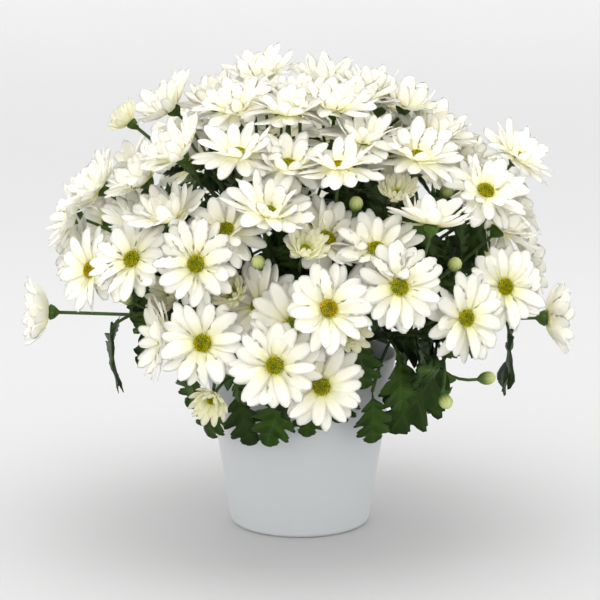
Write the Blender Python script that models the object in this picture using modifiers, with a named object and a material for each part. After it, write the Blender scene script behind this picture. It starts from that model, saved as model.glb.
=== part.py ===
# A potted chrysanthemum. Five rooted cuttings in one plain tapered pot have grown into a dome of
# white daisy blooms, with half-open blooms, buds and lobed leaves among them.
# Metres, +Z up. The origin is the middle of the pot's foot, and the front is -Y.

import math
import random

import bmesh
import bpy
import numpy as np
from mathutils import Matrix, Vector
from mathutils.bvhtree import BVHTree

TURN = 2.0 * math.pi
UP = Vector((0.0, 0.0, 1.0))
GAP = 0.0003  # left between pieces that touch

# Pot and soil
POT_HEIGHT = 0.140
POT_RIM_RADIUS = 0.078
POT_FOOT_RADIUS = 0.057
POT_WALL = 0.0026
POT_FLOOR = 0.0036
FOOT_ROUND = 0.004
POT_SIDES = 24
SOIL_TOP = POT_HEIGHT - 0.012
HOLE_DEPTH = 0.022
HOLE_ROOM = 0.0006  # between a main stem and its hole

# Plants: the cuttings stand in a ring, the first one at the front
PLANTS = 5
PLANT_RING = 0.036
MAIN_STEM_RADIUS = 0.0034
MAIN_STEM_RISE = 0.014
BRANCH_RADIUS = 0.0019
BRANCH_REACH = 0.64  # of the way from the main stem to its blooms
BRANCH_LOWEST = POT_HEIGHT + 0.016
BRANCH_BOW = 0.25  # how far it bows upwards, as a share of its length
ROOT_DEPTH = 0.004  # a branch starts this far down inside its main stem
HEADS_A_BRANCH = 5
STALKS_FROM = 0.7  # the shares of a branch's length between which its stalks leave it
STALKS_TO = 0.97

# The dome that the discs lie on: a rounded box of revolution, flatter on top than a ball
DOME_MIDDLE = 0.165
DOME_HALF_WIDTH = 0.186
DOME_RISE = 0.182
DOME_DROP = 0.095
DOME_POWER = 2.6

# Blooms. The petal ring lies round the disc's neck, and its petals stand on a hinge circle.
BLOOM_RADIUS = 0.033
FRONT_BLOOMS = 18  # of the table below, seen best and given the most petals
FRONT_PETALS = 8
OTHER_PETALS = 6
HINGE_RADIUS = 0.0088
RING_HOLE = 0.0040  # from the axis to the flat sides of the hole
RING_HALF_THICK = 0.0003
PETAL_HALF_WIDTH = 0.0070
PETAL_CROWN = 0.0013
PETAL_WIDEST = 0.55  # along its length
PETAL_RIDGE = 0.35
PETAL_TIP = 0.5  # its tip's width as a share of its widest
INNER_RAISE = 9  # every second petal stands this many degrees higher, and is a little shorter
INNER_LENGTH = 0.93
PETAL_GAP = 0.0004  # kept between a petal and what it passes
PETAL_SIZES = (1.0, 0.85, 0.7, 0.55, 0.42, 0.32, 0.24, 0.16, 0.1)
PETAL_PITCHES = (-46.0, 50.0)  # the lowest and the highest
PETAL_BENDS = (0, 6, -6, 12, -12, 18, -18, 24, -24, 32, -32, 40, -40, 50, -50, 60, -60)
HUB_ROOM = (0.0021, 0.0115)  # half thickness and radius that stalks keep out of
LAYER_STEP = 0.011  # blooms that would lie in one another sit this much deeper
LAYER_REACH = 0.047

# A stalk runs into its head in one piece: radius and height of the head's rings, from the
# stalk's end up, where height 0 is the middle of the petal ring
FRONT_HEAD_SIDES = 5
OTHER_HEAD_SIDES = 4
STALK_RADIUS = 0.0012
STALK_ROOM = 0.0019  # kept clear round a stalk's middle line
HEAD_ROOM = 1.12  # kept clear round a head, as a share of its radius
HEAD_RINGS = {
    "bloom": ((0.0013, -0.0085), (0.0060, -0.0018), (0.0028, 0.0), (0.0076, 0.0024), (0.0, 0.0050)),
    "young": ((0.0016, -0.0085), (0.0040, -0.0016), (0.0040, 0.0010), (0.0, 0.0046)),
    "bud": ((0.0013, -0.0080), (0.0050, -0.0022), (0.0040, 0.0030), (0.0, 0.0060)),
}
STALK_STRAIGHT = 0.45  # a stalk bends at this share of its length before its head
STALK_DETOURS = (0.010, 0.020, 0.030)  # how far the bend moves aside where the way isn't clear

# The front view in which places are read: the viewer, looking down by the pitch, counts
# steps to the right of and above the view's middle, and a step is 1/1800 of the distance
VIEWER = Vector((0.0, -1.43, 0.437))
VIEW_PITCH = math.radians(10.1)
VIEW_STEPS = 1800.0

# Open blooms: steps across and up, turn to the right and lift of the face, and cup of the
# petals, in degrees. Those in front come first, and keep the outermost layer.
BLOOMS = (
    (-97, -43, -8, 12, 4), (-25, -65, -5, 6, 4), (99, 13, 10, 15, 4), (23, -91, 3, 2, 4),
    (-103, 36, -20, 12, 4), (165, -18, 30, 8, 6), (-167, 40, -30, 30, 6), (185, 108, 22, 42, 6),
    (-80, 73, -15, 50, 4), (-63, 145, -10, 70, 10), (-13, 144, 4, 62, 8), (-7, -27, 0, 25, 8),
    (82, 52, 5, 50, 8), (204, 13, 25, 15, 8), (-208, 30, -45, 15, 8), (28, -9, 15, 20, 14),
    (-46, -9, -25, 30, 14), (-145, -40, -70, 5, 16),
    (-251, -12, -78, 4, 42), (246, -18, 92, 0, 40), (-32, 86, 20, 60, 32), (131, 74, 150, 74, 30),
    (30, 68, 40, 45, 32), (212, 75, 85, 45, 32), (222, 38, 95, 28, 34), (-128, 192, -70, 45, 40),
    (-120, 145, -60, 50, 40), (-165, 128, -70, 45, 34), (-200, 112, -70, 35, 32),
    (-225, 84, -75, 22, 28), (-180, 88, -30, 70, 40), (-140, 86, -40, 62, 38),
    (-232, 58, -75, 14, 26), (217, 142, 60, 48, 20), (-88, 210, -60, 62, 34),
    (-38, 222, -30, 74, 34), (34, 190, 10, 76, 28), (26, 218, 60, 82, 36), (70, 222, 70, 76, 36),
    (68, 170, 10, 70, 26), (104, 194, 60, 72, 32), (142, 178, 50, 62, 28), (182, 162, 60, 56, 28),
    (38, 132, 5, 76, 12), (118, 142, 20, 60, 24), (-64, 190, -30, 66, 22), (98, 166, 20, 66, 20),
)

# Sprays of up to seven blooms round the back: turn from the front, height, and roll of the seven,
# in degrees, metres and degrees
SPRAYS = (
    (110, 0.235, -30), (-115, 0.235, -10), (172, 0.190, -10), (148, 0.308, -10),
    (-155, 0.308, 10), (0, 0.346, 20),
)
# Their places, in steps between neighbours, lie 60 degrees apart round the first, so that petals
# which are also 60 degrees apart point at every neighbour and cross its petals
SPRAY_PLACES = (
    (0.0, 0.0), (1.0, 0.0), (0.5, 0.866), (-0.5, 0.866), (-1.0, 0.0), (-0.5, -0.866),
    (0.5, -0.866),
)
SPRAY_STEP = 0.050
SPRAY_REACH = 0.058  # the petals of blooms within this distance can cross
SPRAY_ROOM = {"bloom": 0.034, "young": 0.028, "bud": 0.028}  # nearer than this, none is placed
SPRAY_LOWEST = 0.190
SPRAY_CUP = 14

# Half-open blooms and buds: steps across and up, turn and lift in degrees
YOUNG = (
    (-10, 110, 0, 55), (103, 113, 10, 50), (5, 50, 15, 40), (-73, 7, -20, 25), (52, -35, 10, 12),
    (-88, -99, -15, -20), (-148, 2, -45, 20), (-170, 178, -80, 40), (115, 190, 20, 66),
    (-12, 214, 0, 70),
)
BUDS = (
    (157, 118, 25, 45), (-42, 38, -10, 30), (155, 36, 20, 30), (188, -78, 80, 10),
    (146, -102, 20, -30), (-186, 2, -40, 30), (60, 104, 10, 50),
)
YOUNG_PETALS = 6
YOUNG_SCALE = 0.62
YOUNG_PITCH = 50
YOUNG_LENGTH = 0.0225
YOUNG_HOLE = 0.0023
YOUNG_DISC = 0.0030

# Leaves. Half the edge of a blade, and its rib: along and aside as shares of its length, with
# the number of the rib point that each edge point is joined to
LEAF_RIB = (0.0, 0.30, 0.47, 0.66)
LEAF_EDGE = (
    (0.21, 0.040, 0), (0.24, 0.21, 1), (0.44, 0.35, 1), (0.47, 0.13, 2),
    (0.55, 0.30, 3), (0.78, 0.39, 3), (0.79, 0.16, 3),
)
LEAF_HALF_THICK = 0.0008
LEAF_LENGTH = 0.068
LEAF_DROOP = 0.22
LEAF_FOLD = 0.25
LEAF_SIZES = (1.0, 0.85, 0.72, 0.6)  # tried in turn, with swings aside and dips, until clear
LEAF_SWINGS = (0, 12, -12, 24, -24, 36, -36, 50, -50)
LEAF_DIPS = (0, 14, -14, 28)
LEAVES_A_BRANCH = ((0.5, 0.92), (0.75,))  # shares of its length, on one branch and the next
# Leaves read in the front view: steps across and up of the base and of the tip, the radius of
# the upright column round the pot that they hang on, and the turn of the face in degrees
HANGING_LEAVES = (
    (-105, -62, -116, -112, 0.104, -35), (-86, -88, -96, -142, 0.098, -25),
    (-66, -86, -50, -148, 0.096, -10), (-14, -86, -36, -150, 0.098, -5),
    (14, -84, 6, -140, 0.094, 0), (72, -88, 77, -148, 0.100, 15), (98, -50, 106, -118, 0.108, 20),
    (152, -46, 116, -132, 0.126, 25), (165, -54, 186, -92, 0.142, 55),
    (206, -20, 226, -60, 0.182, 75), (-188, -22, -198, -90, 0.162, -70),
    (190, 92, 160, 52, 0.150, 40), (46, -78, 42, -134, 0.094, 8), (58, -32, 66, -94, 0.106, 5),
    (128, -60, 146, -116, 0.108, 30),
)
# Leaves that hang round the back: turns from the front, in degrees
BACK_LEAF_TURNS = (84, 112, 138, 164, 190, 216, 242, 270)
BACK_LEAF_RADIUS = 0.098
BACK_LEAF_TOP = 0.166
BACK_LEAF_BOTTOM = 0.118
LEAF_STALKS_FROM = (0.4, 0.6, 0.8)  # the shares of a branch's length at which they may leave
LEAF_STALK_BOW = 0.012

WHITE = (0.86, 0.85, 0.80)
LEAF_GREEN = (0.05, 0.11, 0.03)
POT_WHITE = (0.78, 0.80, 0.80)
SOIL_BROWN = (0.035, 0.022, 0.014)

draw = random.Random(24)


def clear_scene():
    for item in list(bpy.data.objects):
        bpy.data.objects.remove(item, do_unlink=True)


def new_collection(name):
    group = bpy.data.collections.new(name)
    bpy.context.scene.collection.children.link(group)
    return group


def new_material(name, colour, roughness):
    material = bpy.data.materials.new(name)
    material.use_nodes = True
    shader = material.node_tree.nodes["Principled BSDF"]
    shader.inputs["Base Color"].default_value = (*colour, 1.0)
    shader.inputs["Roughness"].default_value = roughness
    shader.inputs["Metallic"].default_value = 0.0
    return material


def add_object(name, mesh, group):
    item = bpy.data.objects.new(name, mesh)
    group.objects.link(item)
    return item


def mesh_from(name, points, faces):
    mesh = bpy.data.meshes.new(name)
    mesh.from_pydata([tuple(point) for point in points], [], faces)
    return mesh


def evaluated_mesh(item, merge=0.00001):
    """A mesh with the object's modifiers, or its curve's bevel and caps, made real, and points
    that lie closer than the merge distance joined."""
    graph = bpy.context.evaluated_depsgraph_get()
    mesh = bpy.data.meshes.new_from_object(item.evaluated_get(graph), depsgraph=graph)
    work = bmesh.new()
    work.from_mesh(mesh)
    bmesh.ops.remove_doubles(work, verts=work.verts, dist=merge)
    work.to_mesh(mesh)
    work.free()
    return mesh


def finish(item, material):
    item.data.materials.clear()
    item.data.materials.append(material)
    item.data.shade_smooth()
    item.data.set_sharp_from_angle(angle=math.radians(40))


def turned(name, profile, sides, group):
    """A profile of (radius, height) pairs, from top to bottom, swept round the axis."""
    points = [(radius, 0.0, height) for radius, height in profile]
    edges = [(k, k + 1) for k in range(len(points) - 1)]
    mesh = bpy.data.meshes.new(name)
    mesh.from_pydata(points, edges, [])
    item = add_object(name, mesh, group)
    screw = item.modifiers.new("turn", "SCREW")
    screw.steps = screw.render_steps = sides
    screw.use_merge_vertices = True
    screw.merge_threshold = 0.00002
    return item


def tube(name, points, radius, group):
    """A thin stem along the points, as a mesh with closed ends."""
    curve = bpy.data.curves.new(name, "CURVE")
    curve.dimensions = "3D"
    curve.bevel_depth = radius
    curve.bevel_resolution = 0
    curve.use_fill_caps = True
    line = curve.splines.new("POLY")
    line.points.add(len(points) - 1)
    for spot, point in zip(line.points, points):
        spot.co = (*point, 1.0)
    guide = add_object(name, curve, group)
    mesh = evaluated_mesh(guide)
    bpy.data.objects.remove(guide, do_unlink=True)
    bpy.data.curves.remove(curve)
    return add_object(name, mesh, group)


def loft(points, radii, sides, side=None):
    """Rings of few sides along a bent path, closed flat at its start and in a point at its
    end, as points and faces. The first ring starts at the side, where one is given."""
    points = [Vector(point) for point in points]
    shape = []
    for k, (point, radius) in enumerate(zip(points[:-1], radii)):
        ahead = (points[k + 1] - points[max(k - 1, 0)]).normalized()
        side = ahead.orthogonal() if side is None else side - ahead * side.dot(ahead)
        side.normalize()
        for j in range(sides):
            turned_side = Matrix.Rotation(j * TURN / sides, 3, ahead) @ side
            shape.append(tuple(point + turned_side * radius))
    shape.append(tuple(points[-1]))
    faces = [tuple(reversed(range(sides)))]
    for k in range(len(points) - 2):
        for j in range(sides):
            a, b = k * sides + j, k * sides + (j + 1) % sides
            faces.append((a, b, b + sides, a + sides))
    last = (len(points) - 2) * sides
    faces += [(last + j, last + (j + 1) % sides, len(shape) - 1) for j in range(sides)]
    return shape, faces


def union(name, group, home):
    """One body from all the objects of a collection, which it takes away."""
    pieces = list(group.objects)
    first = add_object(name, pieces[0].data, home)
    first.matrix_world = pieces[0].matrix_world
    bpy.data.objects.remove(pieces[0], do_unlink=True)
    if group.objects:
        join = first.modifiers.new("join", "BOOLEAN")
        join.operation = "UNION"
        join.operand_type = "COLLECTION"
        join.collection = group
        join.solver = "MANIFOLD"
        mesh = evaluated_mesh(first, 0.000001)
        first.modifiers.remove(join)
        first.data = mesh
        fill_hollows(mesh)
    for item in list(group.objects):
        bpy.data.objects.remove(item, do_unlink=True)
    bpy.data.collections.remove(group)
    return first


def fill_hollows(mesh):
    """Keeps a mesh's largest body, and so drops the skin of any hollow sealed inside it."""
    work = bmesh.new()
    work.from_mesh(mesh)
    left = set(work.verts)
    bodies = []
    while left:
        body, edge = set(), {left.pop()}
        while edge:
            body |= edge
            edge = {link.other_vert(vert) for vert in edge for link in vert.link_edges} - body
        left -= body
        bodies.append(body)
    bodies.sort(key=len)
    for body in bodies[:-1]:
        bmesh.ops.delete(work, geom=list(body), context="VERTS")
    work.to_mesh(mesh)
    work.free()


def bend(start, middle, end, count):
    """Points along the quadratic curve from start to end, drawn towards the middle."""
    shares = [k / (count - 1) for k in range(count)]
    return [start * (1 - t) ** 2 + middle * 2 * t * (1 - t) + end * t * t for t in shares]


class Space:
    """What is placed so far, to keep new pieces clear of it."""

    def __init__(self):
        self.owners, self.middles, self.reaches, self.trees = [], [], [], []

    def add(self, owner, points, faces):
        points = np.asarray(points)
        middle = points.mean(axis=0)
        self.owners.append(owner)
        self.middles.append(middle)
        self.reaches.append(np.linalg.norm(points - middle, axis=1).max())
        self.trees.append(BVHTree.FromPolygons(points.tolist(), faces))

    def add_object(self, owner, item):
        self.add(owner, *world_faces(item))

    def add_heads(self, heads):
        """Keeps room for every head and the middle of its petals before its stalk is made."""
        for head in heads:
            rings = HEAD_RINGS[head["kind"]]
            path = [head["point"] + head["face"] * height for _, height in rings]
            self.add(head["name"], *loft(path, [HEAD_ROOM * radius for radius, _ in rings], 8))
            half, radius = HUB_ROOM
            points, faces = loft((UP * -half, UP * half, UP * 1.01 * half), (radius,) * 2, 8)
            self.add(head["name"], [head["frame"] @ Vector(point) for point in points], faces)

    def touched(self, points, faces, allowed=()):
        """The owners, apart from those allowed, that the faces cross."""
        points = np.asarray(points)
        middle = points.mean(axis=0)
        reach = np.linalg.norm(points - middle, axis=1).max()
        away = np.linalg.norm(np.array(self.middles) - middle, axis=1)
        near = np.nonzero(away < np.array(self.reaches) + reach)[0]
        tree = BVHTree.FromPolygons(points.tolist(), faces)
        return {
            self.owners[k] for k in near
            if self.owners[k] not in allowed and tree.overlap(self.trees[k])
        }


def world_faces(item):
    item.data.calc_loop_triangles()
    points = [item.matrix_world @ vertex.co for vertex in item.data.vertices]
    return [tuple(point) for point in points], [tuple(t.vertices) for t in item.data.loop_triangles]


def sight(across, up):
    """The direction from the viewer through a place in the front view."""
    ahead = Vector((0.0, math.cos(VIEW_PITCH), -math.sin(VIEW_PITCH)))
    above = Vector((0.0, math.sin(VIEW_PITCH), math.cos(VIEW_PITCH)))
    return (ahead * VIEW_STEPS + Vector((across, 0.0, 0.0)) + above * up).normalized()


def dome_depth(points, share=1.0):
    """Below 1 inside the dome, and above 1 outside it."""
    aside = np.hypot(points[:, 0], points[:, 1]) / (DOME_HALF_WIDTH * share)
    height = points[:, 2] - DOME_MIDDLE
    tall = np.where(height > 0.0, DOME_RISE, DOME_DROP) * share
    return aside ** DOME_POWER + np.abs(height / tall) ** DOME_POWER


def on_dome(across, up, share=1.0):
    """Where a line of sight meets the dome, or passes nearest to it."""
    way = np.array(sight(across, up))
    points = np.array(VIEWER) + np.linspace(1.1, 1.8, 1401)[:, None] * way
    depth = dome_depth(points, share)
    inside = np.nonzero(depth <= 1.0)[0]
    return Vector(points[inside[0] if len(inside) else int(depth.argmin())])


def dome_outward(point):
    """The direction straight out of the dome at a point."""
    step = 0.001
    around = np.array(point) + step * np.vstack([np.eye(3), -np.eye(3)])
    depth = dome_depth(around)
    return Vector(depth[:3] - depth[3:]).normalized()


def facing(turn, lift):
    """A direction from its turn to the right of the front and its lift, in degrees."""
    turn, lift = math.radians(turn), math.radians(lift)
    aside = math.cos(lift)
    return Vector((math.sin(turn) * aside, -math.cos(turn) * aside, math.sin(lift)))


def frame_on(point, face, roll=0.0):
    """A matrix at the point with its Z along the face direction, turned by the roll."""
    matrix = face.to_track_quat("Z", "Y").to_matrix().to_4x4()
    return Matrix.Translation(point) @ matrix @ Matrix.Rotation(roll, 4, "Z")


def ring_blade(turn, count, pitch, length, swell=0.0):
    """The edge and ridge points of one petal, between its two notches."""
    pitch_sign = 1.0 if pitch >= 0.0 else -1.0
    out = np.array((math.cos(turn), math.sin(turn), 0.0))
    aside = np.array((-math.sin(turn), math.cos(turn), 0.0))
    along = out * math.cos(pitch) + np.array(UP) * math.sin(pitch)
    above = -out * math.sin(pitch) + np.array(UP) * math.cos(pitch)
    root = out * HINGE_RADIUS * math.cos(0.5 * TURN / count)
    wide_radius = HINGE_RADIUS + PETAL_WIDEST * length * math.cos(pitch)
    wide = min(PETAL_HALF_WIDTH, 0.44 * TURN * wide_radius / count) + swell
    tip = PETAL_TIP * wide
    end = length + swell
    return np.array((
        root + along * PETAL_WIDEST * length - aside * wide,
        root + along * end - aside * tip,
        root + along * end + aside * tip,
        root + along * PETAL_WIDEST * length + aside * wide,
        root + along * PETAL_RIDGE * length + above * (PETAL_CROWN + swell) * pitch_sign,
    )), above


def ring_mesh(pitches, lengths, hole):
    """The upper and lower side of a ring of petals, as points and triangles, round a hole that
    is still without its wall. Its notches and petal edges are sharp, and each petal has a ridge
    on its upper side, or below where it bends back."""
    count = len(pitches)
    half = count // 2
    step = TURN / count
    corner = hole / math.cos(math.pi / half)
    notches = [(HINGE_RADIUS, (k - 0.5) * step, 0.0) for k in range(count)]
    above = [(corner, (2 * k - 0.5) * step, RING_HALF_THICK) for k in range(half)]
    below = [(radius, turn, -height) for radius, turn, height in above]
    points = [
        (radius * math.cos(turn), radius * math.sin(turn), height)
        for radius, turn, height in notches + above + below
    ]
    faces = []
    for k in range(count):
        blade, _ = ring_blade(k * step, count, pitches[k], lengths[k])
        first = len(points)
        points += [tuple(point) for point in blade]
        wide_a, tip_a, tip_b, wide_b, ridge = range(first, first + 5)
        notch_a, notch_b = k, (k + 1) % count
        for side, upper in ((0, True), (half, False)):
            inner = count + side + (k + 1) // 2 % half
            if (pitches[k] >= 0.0) == upper:
                loop = [inner, notch_a, wide_a, tip_a, tip_b, wide_b, notch_b]
                part = [(ridge, loop[j], loop[(j + 1) % 7]) for j in range(7)]
            else:
                part = [
                    (inner, notch_a, notch_b), (notch_a, wide_a, wide_b),
                    (notch_a, wide_b, notch_b), (wide_a, tip_a, tip_b), (wide_a, tip_b, wide_b),
                ]
            faces += part if upper else [face[::-1] for face in part]
    for k in range(half):
        top_a, top_b = count + k, count + (k + 1) % half
        low_a, low_b = top_a + half, top_b + half
        notch = 2 * k + 1
        faces += [(top_a, notch, top_b), (low_b, notch, low_a)]
    return points, faces


def hole_wall(count):
    """The faces round the hole of a ring of petals."""
    half = count // 2
    faces = []
    for k in range(half):
        top_a, top_b = count + k, count + (k + 1) % half
        low_a, low_b = top_a + half, top_b + half
        faces += [(top_a, top_b, low_b), (top_a, low_b, low_a)]
    return faces


def petal_shell(turn, count, pitch, length):
    """The space that a petal needs: its blade, grown by the gap, above and below."""
    blade, above = ring_blade(turn, count, pitch, length, PETAL_GAP)
    hinge = [
        np.array((math.cos(turn + side * TURN / count), math.sin(turn + side * TURN / count), 0.0))
        * HINGE_RADIUS
        for side in (-0.5, 0.5)
    ]
    edge = np.array([hinge[0], *blade[:4], hinge[1]])
    lift = above * PETAL_GAP
    other = blade[4] - 2 * lift * (1.0 if pitch >= 0.0 else -1.0)
    points = np.vstack([edge + lift, edge - lift, blade[4], other])
    faces = [(12, k, (k + 1) % 6) for k in range(6)]
    faces += [(13, 6 + k, 6 + (k + 1) % 6) for k in range(6)]
    return points, faces


def leaf_mesh(length):
    """A lobed blade with sharp edges, thickest along its rib, drooping and folded a little. Its
    two faces are split alike, so that they can't cross."""
    rib = list(LEAF_RIB)
    points, faces = [], []

    def place(along, aside, lift):
        height = -LEAF_DROOP * along * along + LEAF_FOLD * abs(aside) * (1.0 - along)
        return (along * length, aside * length, height * length + lift)

    for lift in (LEAF_HALF_THICK, -LEAF_HALF_THICK):
        points += [place(along, 0.0, lift) for along in rib]
    tip = len(points)
    points.append(place(1.0, 0.0, 0.0))
    sides = []
    for sign in (-1.0, 1.0):
        first = len(points)
        points += [place(along, sign * aside, 0.0) for along, aside, _ in LEAF_EDGE]
        sides.append(first)
    for level in (0, len(rib)):
        for first, flip in zip(sides, (level > 0, level == 0)):
            part = []
            for k in range(len(LEAF_EDGE)):
                near = level + LEAF_EDGE[k][2]
                if k + 1 == len(LEAF_EDGE):
                    part.append((near, first + k, tip))
                    continue
                part.append((near, first + k, first + k + 1))
                far = level + LEAF_EDGE[k + 1][2]
                if far != near:
                    part.append((near, first + k + 1, far))
            faces += [face[::-1] for face in part] if flip else part
    low = len(rib)
    faces += [(sides[0], 0, low), (0, sides[1], low)]
    return points, faces


def onto_dome(point):
    """The dome's surface straight out from its middle, through a point."""
    middle = UP * DOME_MIDDLE
    depth = dome_depth(np.array(point)[None])[0]
    return middle + (point - middle) * depth ** (-1.0 / DOME_POWER)


def reached(point, members):
    """Those of a spray's members whose petals can cross the petals of a bloom at the point."""
    return [other for other in members if (point - other["point"]).length < SPRAY_REACH]


def spray_heads(earlier):
    """Sprays of blooms on the back and top of the dome, clear of the earlier heads. Each bloom
    after a spray's first is within reach of one before it."""
    heads = []
    for k, (turn, height, roll) in enumerate(SPRAYS):
        share = 1.0 - abs((height - DOME_MIDDLE) / DOME_RISE) ** DOME_POWER
        middle = facing(turn, 0) * DOME_HALF_WIDTH * share ** (1.0 / DOME_POWER) + UP * height
        outward = dome_outward(middle)
        spread = frame_on(middle, outward, math.radians(roll)).to_3x3()
        members = []
        for across, up in SPRAY_PLACES:
            point = onto_dome(middle + spread @ Vector((across, up, 0.0)) * SPRAY_STEP)
            crowded = any(
                (point - other["point"]).length < SPRAY_ROOM[other["kind"]]
                for other in earlier + heads + members)
            if point.z < SPRAY_LOWEST or crowded or (members and not reached(point, members)):
                continue
            members.append({
                "kind": "bloom", "node": f"spray_{k + 1:02d}", "point": point,
                "face": dome_outward(point), "cup": SPRAY_CUP, "petals": OTHER_PETALS,
                "layer": 0, "first": spread.col[0],
            })
        heads += members
    return heads


def all_heads():
    """Every bloom, half-open bloom and bud: its place, face, node and plant."""
    heads = []
    for k, (across, up, turn, lift, cup) in enumerate(BLOOMS):
        heads.append({
            "kind": "bloom", "node": f"bloom_{k + 1:02d}", "point": on_dome(across, up),
            "face": facing(turn, lift), "cup": cup,
            "petals": FRONT_PETALS if k < FRONT_BLOOMS else OTHER_PETALS, "front": k < FRONT_BLOOMS,
        })
    small = []
    for kind, table in (("young", YOUNG), ("bud", BUDS)):
        for across, up, turn, lift in table:
            point = on_dome(across, up, 0.97)
            small.append({"kind": kind, "point": point, "face": facing(turn, lift)})
    heads += spray_heads(heads + small) + small
    for k, head in enumerate(heads):
        head["name"] = f"head_{k}"
        head["stalk"] = f"stalk_{k}"
        head["roll"] = draw.uniform(0.0, TURN)
        head["sizes"] = [draw.uniform(0.92, 1.08) for _ in range(YOUNG_PETALS)]
        turn = math.atan2(head["point"].x, -head["point"].y) / TURN
        head["plant"] = round(turn * PLANTS) % PLANTS
    return heads


def settle_layers(heads):
    """Heads that would lie in one another sit in deeper layers, later ones below earlier."""
    for k, head in enumerate(heads):
        if "layer" not in head:
            reach = LAYER_REACH if head["kind"] == "bloom" else 0.7 * LAYER_REACH
            near = [
                other for other in heads[:k] if (other["point"] - head["point"]).length < reach]
            head["layer"] = min({0, 1, 2, 3} - {other["layer"] for other in near}, default=3)
    for head in heads:
        head["point"] = head["point"] - dome_outward(head["point"]) * LAYER_STEP * head["layer"]
        head["frame"] = frame_on(head["point"], head["face"], head["roll"])
        if "first" in head:
            aside = head["face"].cross(head["first"]).normalized()
            head["frame"] = Matrix((aside.cross(head["face"]), aside, head["face"])).transposed()
            head["frame"] = Matrix.Translation(head["point"]) @ head["frame"].to_4x4()


def add_pot(group, material):
    lower = [
        (POT_FOOT_RADIUS - FOOT_ROUND * (1 - math.sin(turn)), FOOT_ROUND * (1 - math.cos(turn)))
        for turn in (math.radians(90), math.radians(60), math.radians(30), 0.0)
    ]
    slope = (POT_RIM_RADIUS - POT_FOOT_RADIUS) / POT_HEIGHT
    floor_radius = POT_FOOT_RADIUS + slope * POT_FLOOR - POT_WALL
    profile = [
        (0.0, POT_FLOOR), (floor_radius, POT_FLOOR), (POT_RIM_RADIUS - POT_WALL, POT_HEIGHT),
        (POT_RIM_RADIUS, POT_HEIGHT), *lower, (0.0, 0.0),
    ]
    pot = turned("pot", profile, POT_SIDES, group)
    pot.data = evaluated_mesh(pot)
    pot.modifiers.clear()
    finish(pot, material)
    return pot


def add_soil(group, cutters, material):
    """Soil up to a little below the rim, with a plain hole for each main stem."""
    slope = (POT_RIM_RADIUS - POT_FOOT_RADIUS) / POT_HEIGHT
    base = POT_FLOOR + GAP
    room = POT_FOOT_RADIUS - POT_WALL - 2 * GAP
    profile = [
        (0.0, SOIL_TOP), (room + slope * SOIL_TOP, SOIL_TOP), (room + slope * base, base),
        (0.0, base),
    ]
    soil = turned("soil", profile, POT_SIDES, group)
    bpy.ops.mesh.primitive_cylinder_add(
        vertices=8, radius=MAIN_STEM_RADIUS + HOLE_ROOM, depth=2 * HOLE_DEPTH)
    first = bpy.context.object
    for k in range(PLANTS):
        cutter = add_object(f"stem_hole_{k + 1}", first.data, cutters)
        cutter.location = plant_foot(k)
        cutter.display_type = "WIRE"
        cutter.hide_render = True
        hole = soil.modifiers.new(f"hole_{k + 1}", "BOOLEAN")
        hole.operation = "DIFFERENCE"
        hole.object = cutter
    bpy.data.objects.remove(first, do_unlink=True)
    finish(soil, material)
    return soil


def plant_foot(k):
    return facing(360.0 * k / PLANTS, 0) * PLANT_RING + UP * SOIL_TOP


def add_main_stem(k, group, space):
    foot = plant_foot(k)
    points = [foot - UP * (HOLE_DEPTH - GAP), foot + UP * MAIN_STEM_RISE]
    stem = tube("main_stem", points, MAIN_STEM_RADIUS, group)
    space.add_object(f"main_stem_{k}", stem)
    return points[-1]


def add_branches(k, start, heads, group, space):
    """Branches from the main stem, each to the middle of a few heads of like height."""
    own = sorted((head for head in heads if head["plant"] == k), key=lambda head: head["point"].z)
    count = math.ceil(len(own) / HEADS_A_BRANCH)
    branches = []
    for j in range(count):
        share = own[len(own) * j // count:len(own) * (j + 1) // count]
        middle = sum((head["point"] for head in share), Vector()) / len(share)
        end = start.lerp(middle, BRANCH_REACH)
        end.z = max(end.z, BRANCH_LOWEST)
        turn = start.lerp(end, 0.4) + UP * BRANCH_BOW * (end - start).length
        points = bend(start - UP * ROOT_DEPTH, turn, end, 4)
        branch = {"name": f"branch_{k}_{j}", "plant": k, "points": points}
        space.add_object(branch["name"], tube("branch", points, BRANCH_RADIUS, group))
        branches.append(branch)
        for place, head in enumerate(share):
            head["branch"] = branch
            head["leaves_at"] = STALKS_TO - (STALKS_TO - STALKS_FROM) * place / len(share)
    return branches


def on_line(points, share):
    """The point at a share of the way along a line of points."""
    place = share * (len(points) - 1)
    k = min(int(place), len(points) - 2)
    return points[k].lerp(points[k + 1], place - k)


def stalk_room(points):
    """The space that a stalk along the points needs."""
    beyond = points[-1] + (points[-1] - points[-2]) * 0.01
    return loft([*points, beyond], (STALK_ROOM,) * len(points), 6)


def head_shape(head, stalk):
    """A head on its stalk, as points and faces."""
    rings = HEAD_RINGS[head["kind"]]
    path = list(stalk) + [head["point"] + head["face"] * height for _, height in rings]
    radii = [STALK_RADIUS] * len(stalk) + [radius for radius, _ in rings]
    return loft(path, radii, FRONT_HEAD_SIDES if head.get("front") else OTHER_HEAD_SIDES)


def same_plant(k, heads):
    """The names of what a plant is made of, which may fuse with one another."""
    own = [head for head in heads if head["plant"] == k]
    names = {f"main_stem_{k}"}
    for head in own:
        names |= {head["name"], head["stalk"], head["branch"]["name"]}
    return names


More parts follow.
